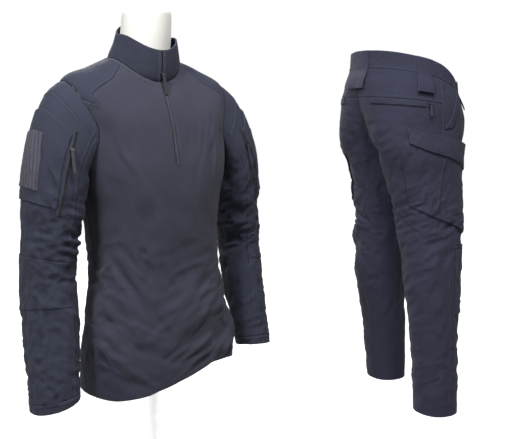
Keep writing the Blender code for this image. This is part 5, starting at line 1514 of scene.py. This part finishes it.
def centre_loop():
    """The belt loop over the seam at the centre back."""
    back_loop = next(layer[1:] for layer in LEG_LAYERS if layer[0] == "belt_loop_back")
    lift, thick, colour, _, _, (low, high) = back_loop
    corners = four_corners(CENTRE_LOOP[0], CENTRE_LOOP[-1], LEG_HEIGHTS[low], LEG_HEIGHTS[high])
    node, cloth, on = "belt_loop_centre", CLOTHS["waist"], ["back_yoke_left_cloth"]
    laid_piece(node, cloth, corners, (4, 4), lift, thick, colour, on, FINE_SPACING)


def waistband_pieces():
    cloth = CLOTHS["waist"]
    left = [1 + turn for turn in FRONT_TURNS + BACK_TURNS[1:]]
    right = [3 - turn for turn in reversed(FRONT_TURNS + BACK_TURNS[1:])]
    lines = sorted({round(line, 3) for line in left + right + [4 + line for line in left]})
    for name, first, last in WAISTBAND:
        places = [line for line in lines if first - 0.001 < line < last + 0.001]
        elastic = "elastic" in name
        spacing = FINEST_SPACING if elastic else SPACING * 0.8
        fine_u, _ = refine(places, [0.03] * (len(places) - 1), spacing)
        fine_v, _ = refine(BAND_HEIGHTS, [0.022, 0.022], FINE_SPACING if elastic else SPACING * 0.8)
        u, v = np.meshgrid(fine_u, fine_v)
        points, facing = cloth.at(u, v)
        if elastic:
            points = points + facing * gathers(points, v)[..., None]
        mask = np.ones((u.shape[0] - 1, u.shape[1] - 1), bool)
        obj = wall_mesh(name + "_cloth", points, facing, mask, BAND_WALL, MATERIALS["trouser"], -BAND_WALL)
        piece(obj, name, "trouser", ["leg_back_right_cloth"])


GATHER_PITCH, GATHER_HEIGHT, GATHER_ROWS = 0.0078, 0.0011, 4


def gathers(points, v):
    """The gathers of an elastic waistband: ripples that run up it, drawn flat at its stitching."""
    along = np.zeros(points.shape[:2])
    along[:, 1:] = np.cumsum(np.linalg.norm(np.diff(points, axis=1), axis=-1), axis=1)
    share = (v - BAND_HEIGHTS[0]) / (BAND_HEIGHTS[-1] - BAND_HEIGHTS[0])
    uneven = 1.6 * lattice_noise(points, 0.018, 91)
    phase = along / GATHER_PITCH * 2 * math.pi + uneven + 2.2 * np.sin(share * 5)
    puff = 0.35 + 0.65 * np.abs(np.sin(share * math.pi * GATHER_ROWS)) ** 0.6
    ends = np.clip(np.minimum(along, along[:, -1:] - along) / 0.006, 0, 1)
    return GATHER_HEIGHT * (np.sin(phase) - 0.6) * puff * ends



# one tooth of a zip: its corners, in shares of its half size, and its faces
TOOTH = ((-1, -1, 0), (1, -1, 0), (1, 1, 0), (-1, 1, 0))
TOOTH += ((-0.8, -0.7, 1), (0.8, -0.7, 1), (0.8, 0.7, 1), (-0.8, 0.7, 1))
TOOTH_FACES = np.array([[4, 5, 6, 7], [0, 1, 5, 4], [1, 2, 6, 5], [2, 3, 7, 6], [3, 0, 4, 7]])
TOOTH_PITCH, TOOTH_HALF, TOOTH_HEIGHT = 0.0018, 0.00115, 0.0009


def zip_run(group, line, width=0.0072, lift=0.0, teeth="zip"):
    """A closed zip along a line: its tape, and two rows of teeth that meet in the middle."""
    band(group, line, -width / 2, width / 2, 0.0004 + lift, "tape")
    for side in (-1, 1):
        centre, facing = line.offset(side * 0.0009, lift + 0.0006)
        ahead = unit(np.gradient(centre, axis=0))
        run = distances(centre)
        count = int(run[-1] / TOOTH_PITCH)
        at = (np.arange(count) + (0.5 if side > 0 else 0.0) + 0.25) * run[-1] / count
        middle = read_at(centre, run, at)
        out, up = (unit(read_at(values, run, at)) for values in (facing, ahead))
        across = np.cross(out, up)
        corners = []
        for x, y, z in TOOTH:
            flat = middle + across * x * TOOTH_HALF + up * y * TOOTH_PITCH * 0.30
            corners.append(flat + out * (z * TOOTH_HEIGHT - 0.0002))
        faces = (np.arange(count)[:, None, None] * 8 + TOOTH_FACES[None]).reshape(-1, 4)
        collect(group, teeth, np.stack(corners, axis=1).reshape(-1, 3), faces)


def neck_zip():
    """The zip up the front of the shirt and on up the collar, with its stitched facings."""
    shirt, collar_cloth = CLOTHS["shirt"], CLOTHS["collar"]
    up_shirt = Line(shirt, [(0.0, ZIP_FOOT_LEVEL - 0.02), (0.0, NECK_SEAM)])
    up_collar = Line(collar_cloth, [(0.0, 0.0), (0.0, 2.98)])
    zip_run("neck_zip", up_shirt, lift=-0.0012, teeth="coil")
    zip_run("neck_zip", up_collar, lift=-0.0022)
    for line in (up_shirt, up_collar):
        for side in (-1, 1):
            low, high = sorted((side * 0.0022, side * 0.0052))
            band("shirt", line, low, high, 0.0006, "knit", 0.00012)
            dark_row("shirt", line, side * 0.0066)
    foot = Line(shirt, [(-0.50, ZIP_FOOT_LEVEL), (0.50, ZIP_FOOT_LEVEL)])
    band("shirt", foot, -0.0040, 0.0004, 0.0008, "knit")
    for away in (-0.0010, -0.0028):
        stitches("shirt", foot, away, 0.0008, "dark_thread", 0.0014, 0.0012)


def smooth_form():
    """The torso form, with finer rings than its solid has."""
    levels = np.linspace(FORM_LEVELS[0], FORM_LEVELS[-1], 90)
    cells = 96
    turns = np.radians(np.arange(0, 360, 360 / cells))
    rings = []
    for level in levels:
        u, v = turns, np.full(cells, level)
        points = ring_point(SHIRT_ROWS, u, v)
        facing = normals(lambda p, q: ring_point(SHIRT_ROWS, p, q), u, v, *SHIRT_STEPS)
        rings.append(points - facing * (FORM_CLEARANCE + WALL))
    rings[0][:, 2] = FORM_BOTTOM
    for share in np.linspace(0, len(NECK_ROWS) - 1, 30):
        neck = (float(spline([row[k] for row in NECK_ROWS], share)) for k in (1, 2, 3, 4))
        radius, middle, z, tilt = neck
        x, y = radius * np.sin(turns), middle - radius * np.cos(turns)
        rings.append(np.stack([x, y, z + tilt * (y - middle)], axis=-1))
    count = len(rings)
    points = np.concatenate(rings + [[[0, SHIRT_ROWS[0][2], FORM_BOTTOM], [0, NECK_ROWS[-1][2], FORM_TOP]]])
    index = np.arange(count * cells).reshape(count, cells)
    ahead = np.roll(index, -1, axis=1)
    faces = np.stack([index[:-1], ahead[:-1], ahead[1:], index[1:]], axis=-1).reshape(-1, 4)
    caps = np.stack([np.full(cells, count * cells), ahead[0], index[0]], axis=-1)
    tops = np.stack([np.full(cells, count * cells + 1), index[-1], ahead[-1]], axis=-1)
    triangles = np.concatenate([faces[:, [0, 1, 2]], faces[:, [0, 2, 3]], caps, tops])
    obj = add_piece("torso_form_smooth", points, triangles, MATERIALS["form"])
    make_outward(obj.data)
    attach(obj, ROOT)
    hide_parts("torso_form")


def make_outward(mesh):
    work = bmesh.new()
    work.from_mesh(mesh)
    bmesh.ops.recalc_face_normals(work, faces=work.faces)
    if work.calc_volume(signed=True) < 0:
        bmesh.ops.reverse_faces(work, faces=work.faces)
    work.to_mesh(mesh)
    work.free()


def round_edges(obj, width, segments, degrees):
    """Rounds the edges that are sharper than so many degrees."""
    bevel = obj.modifiers.new("bevel", "BEVEL")
    bevel.width = width
    bevel.segments = segments
    bevel.limit_method = "ANGLE"
    bevel.angle_limit = math.radians(degrees)


def turned_stand():
    """The stand, turned from its outline with rounded corners."""
    cells = 96
    turns = np.radians(np.arange(0, 360, 360 / cells))
    foot = [(0.0, 0.0), (BASE_RADIUS - 0.0015, 0.0), (BASE_RADIUS, 0.0015)]
    outline = [*foot, *STAND_OUTLINE[1:], (0.0, STAND_OUTLINE[-1][1])]
    rings = []
    for radius, z in outline:
        ring = [radius * np.cos(turns), radius * np.sin(turns), np.full(cells, z)]
        rings.append(np.stack(ring, axis=-1))
    index = np.arange(len(rings) * cells).reshape(len(rings), cells)
    ahead = np.roll(index, -1, axis=1)
    faces = np.stack([index[:-1], ahead[:-1], ahead[1:], index[1:]], axis=-1).reshape(-1, 4)
    obj = add_piece("stand_turned", np.concatenate(rings), faces, MATERIALS["metal"])
    work = bmesh.new()
    work.from_mesh(obj.data)
    bmesh.ops.remove_doubles(work, verts=work.verts, dist=1e-6)
    bmesh.ops.recalc_face_normals(work, faces=work.faces)
    work.to_mesh(obj.data)
    work.free()
    round_edges(obj, 0.0012, 3, 25)
    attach(obj, ROOT)
    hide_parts("stand")


def hard_pieces(frame):
    """The zip sliders, pulls and button: their CAD shapes with rounded edges."""
    for node, slot in (("_slider", "zip"), ("_pull", "pull"), ("waist_button", "zip")):
        for name in sorted(n for n in frame["nodes"] if n.endswith(node)):
            source = frame["nodes"][name]
            obj = bpy.data.objects.new(name + "_finished", source.data.copy())
            bpy.context.scene.collection.objects.link(obj)
            obj.data.materials.clear()
            obj.data.materials.append(MATERIALS[slot])
            work = bmesh.new()
            work.from_mesh(obj.data)
            bmesh.ops.remove_doubles(work, verts=work.verts, dist=1e-6)
            flat = math.radians(2)
            bmesh.ops.dissolve_limit(work, angle_limit=flat, verts=work.verts, edges=work.edges)
            work.to_mesh(obj.data)
            work.free()
            round_edges(obj, 0.00035, 2, 35)
            obj.data.shade_smooth()
            body = name if name in frame["bodies"] else ROOT
            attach(obj, body)
            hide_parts(name)


def sew_shirt():
    """Seams and stitches of the shirt body and collar."""
    shirt, collar_cloth = CLOTHS["shirt"], CLOTHS["collar"]
    back = 2 * (len(LINES_BODY) + 1)
    for name, sign in SIDES.items():
        front_line, back_line = sign * (YOKE_FIRST + 1), sign * (YOKE_LAST + 1)
        for place, inward in ((front_line, -sign), (back_line, sign)):
            line = Line(shirt, [(place, SHOULDER - 0.02), (place, NECK_SEAM - 0.04)])
            seam("shirt", line, "woven", 0.0066, side=inward)
        # the lower edge of the yoke, between the armhole and the seams down from the collar
        for yoke_end, arm_line in ((front_line, ARM_FIRST), (back_line, ARM_LAST)):
            armhole_end = sign * (arm_line + 1)
            near = yoke_end + 0.55 * (armhole_end - yoke_end)
            first, last = sorted((yoke_end, near))
            seam("shirt", Line(shirt, [(first, SHOULDER), (last, SHOULDER)]), "woven", 0.0050, side=-1)
        side = sign * (SIDE_LINE + 1)
        seam("shirt", Line(shirt, [(side, 1.9), (side, ARMPIT - 0.03)]), "knit", 0.0062, side=-sign)
        node = f"side_panel_{name}"
        for inset in (0.0020, 0.0075):
            border("shirt", node, inset, "abd")
        border("shirt", node, 0.0180, "c")
        across = [(0.09, 0.34), (0.30, 0.16), (0.62, 0.05)]
        dark_row("shirt", over(node, across, smooth=True))
    hem = [(line, 0.0) for line in np.linspace(0.0, back, 60)]
    hem_line = Line(shirt, hem)
    for away in (0.0190, 0.0215):
        stitches("shirt", hem_line, -away, 0.0002, "thread")
        stitches("shirt", hem_line, away, 0.0002, "thread")
    neck = Line(shirt, [(line, NECK_SEAM - 0.01) for line in np.linspace(1.6, back - 1.6, 60)])
    seam("shirt", neck, "knit", 0.0055, side=-1, rows=1)
    top = Line(collar_cloth, [(line, 2.9) for line in np.linspace(1.4, back - 1.4, 60)])
    dark_row("shirt", top)
    foot = Line(collar_cloth, [(line, 0.12) for line in np.linspace(1.4, back - 1.4, 60)])
    dark_row("shirt", foot)


SLEEVE_ZIP = ((6.80, 1.70), (6.55, 2.75), (6.45, 4.60), (6.62, 6.20), (6.80, 7.40))


def sew_sleeve(side):
    """Seams, pocket, zip and patch stitching of one sleeve."""
    cloth, group = CLOTHS[f"sleeve_{side}"], f"sleeve_{side}"
    sign = SIDES[side]
    cuff = CAP_RINGS + TUBE_RINGS - 1
    for place, away in ((ARM_FRONT, 1), (ARM_BACK, -1)):
        for low, high in ((0.1, 9.9), (13.1, cuff - 0.05)):
            line = Line(cloth, [(place, ring) for ring in np.linspace(low, high, 16)])
            seam(group, line, "woven", 0.0064, side=away * sign)
    cap = Line(cloth, [(place, CAP_SEAM_RING) for place in np.linspace(ARM_FRONT, ARM_BACK, 24)])
    seam(group, cap, "woven", 0.0070, side=-sign)
    armhole_line = Line(cloth, [(place, 0.05) for place in np.linspace(0.0, ARM_CELLS + 0.2, 50)])
    seam(group, armhole_line, "woven", 0.0066, side=-sign)
    wrist = Line(cloth, [(place, cuff) for place in np.linspace(0.0, ARM_CELLS + 0.2, 50)])
    seam(group, wrist, "woven", 0.0070, side=-sign)
    end = Line(cloth, [(place, cuff + 0.88) for place in np.linspace(0.0, ARM_CELLS + 0.2, 50)])
    stitches(group, end, 0.0, 0.0, "thread")
    pocket, patch, loops = f"sleeve_pocket_{side}", f"elbow_patch_{side}", f"loop_panel_{side}"
    for inset in (0.0018, 0.0070):
        border(group, pocket, inset)
        border(group, patch, inset, "cd")
    border(group, loops, 0.0016)
    for share in (0.34, 0.66):
        dark_row(group, over(patch, [(0.02, share), (0.98, share)]))
    zip_run("sleeve_zips", Line(cloth, SLEEVE_ZIP, smooth=True), width=0.0085, lift=0.0004)
    beside = Line(cloth, [(place + 0.06, ring, 0.0002) for place, ring in SLEEVE_ZIP], smooth=True)
    for away in (0.0062, -0.0062):
        dark_row(group, beside, away)


HEM_TURN = 0.0200  # from a leg's hem to its stitching
POCKET_PLEAT = ((0.44, 0.92), (0.40, 0.50), (0.34, 0.06))
KNEE_DART = ((0.71, 0.600), (0.51, 0.560), (0.37, 0.520))
KNEE_DART_LOW = ((0.65, 0.575), (0.47, 0.540), (0.31, 0.515))


def sew_leg(side):
    """Seams and stitches of one leg."""
    cloth, group = CLOTHS[f"leg_{side}"], f"leg_{side}"
    sign = SIDES[side]

    def column(turn, low, high):
        return Line(cloth, [(turn, z) for z in np.linspace(low, high, 24)])

    def row(z, first, last):
        return Line(cloth, [(turn, z) for turn in np.linspace(first, last, 24)])

    for low, high in ((0.004, 0.500), (0.735, WAIST_SEAM_Z - 0.004)):
        seam(group, column(0.0, low, high), "trouser", 0.0074, side=sign)
    for turn in (1.0, -1.0):
        inner = column(turn, 0.004, FORK_Z - 0.01)
        # a dark strip of painted shade in the inner seam's gap
        band(group, inner, -0.0013, 0.0013, -SEAM_DEPTH, "depth")
        if turn > 0:
            band(group, inner, *sorted((-sign * 0.0008, -sign * 0.0080)), 0.0006, "trouser", 0.0002)
            for away in (0.0022, 0.0068):
                dark_row(group, inner, -sign * away, 0.0006)
    hem = row(0.0, -1.0, 1.0)
    for away in (HEM_TURN, -HEM_TURN):
        dark_row(group, hem, away, 0.0001)
    seam(group, row(YOKE_Z, 0.02, 0.99), "trouser", 0.0080, side=sign)
    pocket, flap = f"cargo_pocket_{side}", f"cargo_flap_{side}"
    for inset in (0.0018, 0.0078):
        border(group, pocket, inset, "abc")
        border(group, flap, inset)
        border(group, f"knee_patch_{side}", inset)
        border(group, f"front_pocket_{side}", inset, "ab")
    pleat = over(pocket, POCKET_PLEAT)
    # a dark strip of painted shade in the pleat's fold
    band(group, pleat, -0.0008, 0.0012, 0.0002, "depth")
    band(group, pleat, *sorted((sign * 0.0010, sign * 0.0085)), 0.0010, "trouser", 0.0002)
    dark_row(group, pleat, sign * 0.0026, 0.0010)
    for places in (KNEE_DART, KNEE_DART_LOW):
        dart = Line(cloth, places, smooth=True)
        # a dark strip of painted shade along the dart
        band(group, dart, -0.0010, 0.0010, 0.0001, "depth")
        for away in (0.0030, -0.0030):
            dark_row(group, dart, away)
    for share in (0.33, 0.67):
        dark_row(group, over(f"knee_patch_{side}", [(0.04, share), (0.96, share)]))
    border(group, f"back_welt_{side}", 0.0016)
    # the welt's mouth, drawn as a dark strip of painted shade
    mouth = row(YOKE_Z - 0.0165, 0.165, 0.765)
    band(group, mouth, -0.0014, 0.0014, 0.0003, "depth")
    for name in ("belt_loop_back", "belt_loop_front"):
        border(group, f"{name}_{side}", 0.0016, "ab")


# the fly's inner row of stitching, as (turn, z)
FLY_STITCH = ((-0.79, 0.928), (-0.79, 0.870), (-0.81, 0.815), (-0.88, 0.782), (-0.985, 0.768))


def sew_trousers():
    """Seams that the two legs share, and those of the waistband."""
    left = CLOTHS["leg_left"]
    cloth = CLOTHS["waist"]
    for turn, away in ((1.0, -1), (-1.0, 1)):
        middle = Line(left, [(turn, z) for z in np.linspace(FORK_Z, WAIST_SEAM_Z - 0.003, 20)])
        seam("trousers", middle, "trouser", 0.0080, side=away)
    join = Line(cloth, [(place, WAIST_SEAM_Z) for place in np.linspace(0.02, 3.98, 80)])
    seam("trousers", join, "trouser", 0.0062, side=1)
    rows = np.linspace(WAIST_SEAM_Z, WAIST_TOP_Z, GATHER_ROWS + 1)[1:-1]
    for name, first, last in WAISTBAND:
        elastic = "elastic" in name
        for z in rows if elastic else (WAIST_SEAM_Z + 0.008, WAIST_TOP_Z - 0.004):
            line = Line(cloth, [(place, z) for place in np.linspace(first + 0.02, last - 0.02, 40)])
            if elastic:
                stitches("trousers", line, 0.0, -0.0004, "dark_thread", 0.0026, 0.0021)
            else:
                dark_row("trousers", line)
        line = Line(cloth, [(first, z) for z in np.linspace(WAIST_SEAM_Z, WAIST_TOP_Z - 0.001, 12)])
        seam("trousers", line, "trouser", 0.0060, side=-1 if elastic else 1)
    for shift in (0.0, 0.030):
        curve = []
        for n, (turn, z) in enumerate(FLY_STITCH):
            curve.append((turn - shift if n < 3 else turn, z + shift * 0.3 * n))
        dark_row("trousers", Line(left, curve, smooth=True))
    border("trousers", "belt_loop_centre", 0.0016, "ab")


ROOM_LIGHT, FLOOR_GLOW = 0.15, 0.93
ROOM_MIDDLE = (0.4, 0.6, 0)
CAMERA_PLACE, CAMERA_AZIMUTH, CAMERA_PITCH = (-0.87505, -1.45391, 0.846), 38.9, 8.252
CAMERA_LENS, SENSOR_WIDTH = 53.71, 36.0
# name, place, what it is aimed at, size and power
LIGHTS = (
    ("key", (-1.70, -0.75, 2.30), (0.1, 0, 0.86), 0.6, 58),
    ("trouser_key", (-0.10, -1.00, 2.45), (0.88, 0, 0.70), 0.6, 50),
    ("rim", (0.9, 2.2, 2.3), (0.4, 0, 0.8), 1.2, 60),
)


def glowing(name, base, roughness, strength):
    """A material that gives off white light."""
    shader = Shader(name, (base, base, base), roughness)
    shader.out.inputs["Emission Color"].default_value = (1, 1, 1, 1)
    shader.out.inputs["Emission Strength"].default_value = strength
    return shader.mat


def set_scene():
    """The floor and the white wall round it, the light and the camera."""
    bpy.ops.mesh.primitive_plane_add(size=30, location=ROOM_MIDDLE)
    floor = bpy.context.object
    floor.name = "floor"
    floor.data.materials.append(glowing("paper", 0.50, 0.9, FLOOR_GLOW))
    floor.visible_diffuse = False
    size = {"segments": 48, "ring_count": 24, "radius": 15}
    bpy.ops.mesh.primitive_uv_sphere_add(location=ROOM_MIDDLE, **size)
    wall = bpy.context.object
    wall.name = "studio_wall"
    wall.data.materials.append(glowing("studio_white", 0.0, 1.0, 1.0))
    for ray in ("diffuse", "glossy", "shadow", "transmission"):
        setattr(wall, f"visible_{ray}", False)
    world = bpy.data.worlds.new("room")
    bpy.context.scene.world = world
    world.use_nodes = True
    world.node_tree.nodes["Background"].inputs[0].default_value = (1.0, 1.0, 1.0, 1)
    world.node_tree.nodes["Background"].inputs[1].default_value = ROOM_LIGHT
    for name, place, aim, size, power in LIGHTS:
        light = bpy.data.lights.new(name, "AREA")
        light.shape, light.size, light.energy = "DISK", size, power
        obj = bpy.data.objects.new(name, light)
        obj.location = place
        obj.rotation_euler = (Vector(aim) - Vector(place)).to_track_quat("-Z", "Y").to_euler()
        bpy.context.scene.collection.objects.link(obj)
    data = bpy.data.cameras.new("camera")
    data.sensor_width, data.lens = SENSOR_WIDTH, CAMERA_LENS
    camera = bpy.data.objects.new("camera", data)
    camera.location = CAMERA_PLACE
    azimuth, pitch = math.radians(CAMERA_AZIMUTH), math.radians(CAMERA_PITCH)
    flat = math.cos(pitch)
    look = Vector((math.sin(azimuth) * flat, math.cos(azimuth) * flat, -math.sin(pitch)))
    camera.rotation_euler = look.to_track_quat("-Z", "Y").to_euler()
    bpy.context.scene.collection.objects.link(camera)
    bpy.context.scene.camera = camera
    bpy.context.scene.view_settings.view_transform = "Standard"


def main():
    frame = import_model()
    shirt_panels()
    collar_piece()
    for side in SIDES:
        sleeve_pieces(side)
        leg_pieces(side)
    waistband_pieces()
    centre_loop()
    neck_zip()
    sew_shirt()
    for side in SIDES:
        sew_sleeve(side)
        sew_leg(side)
    sew_trousers()
    smooth_form()
    turned_stand()
    hard_pieces(frame)
    make_collected()
    set_scene()


main()
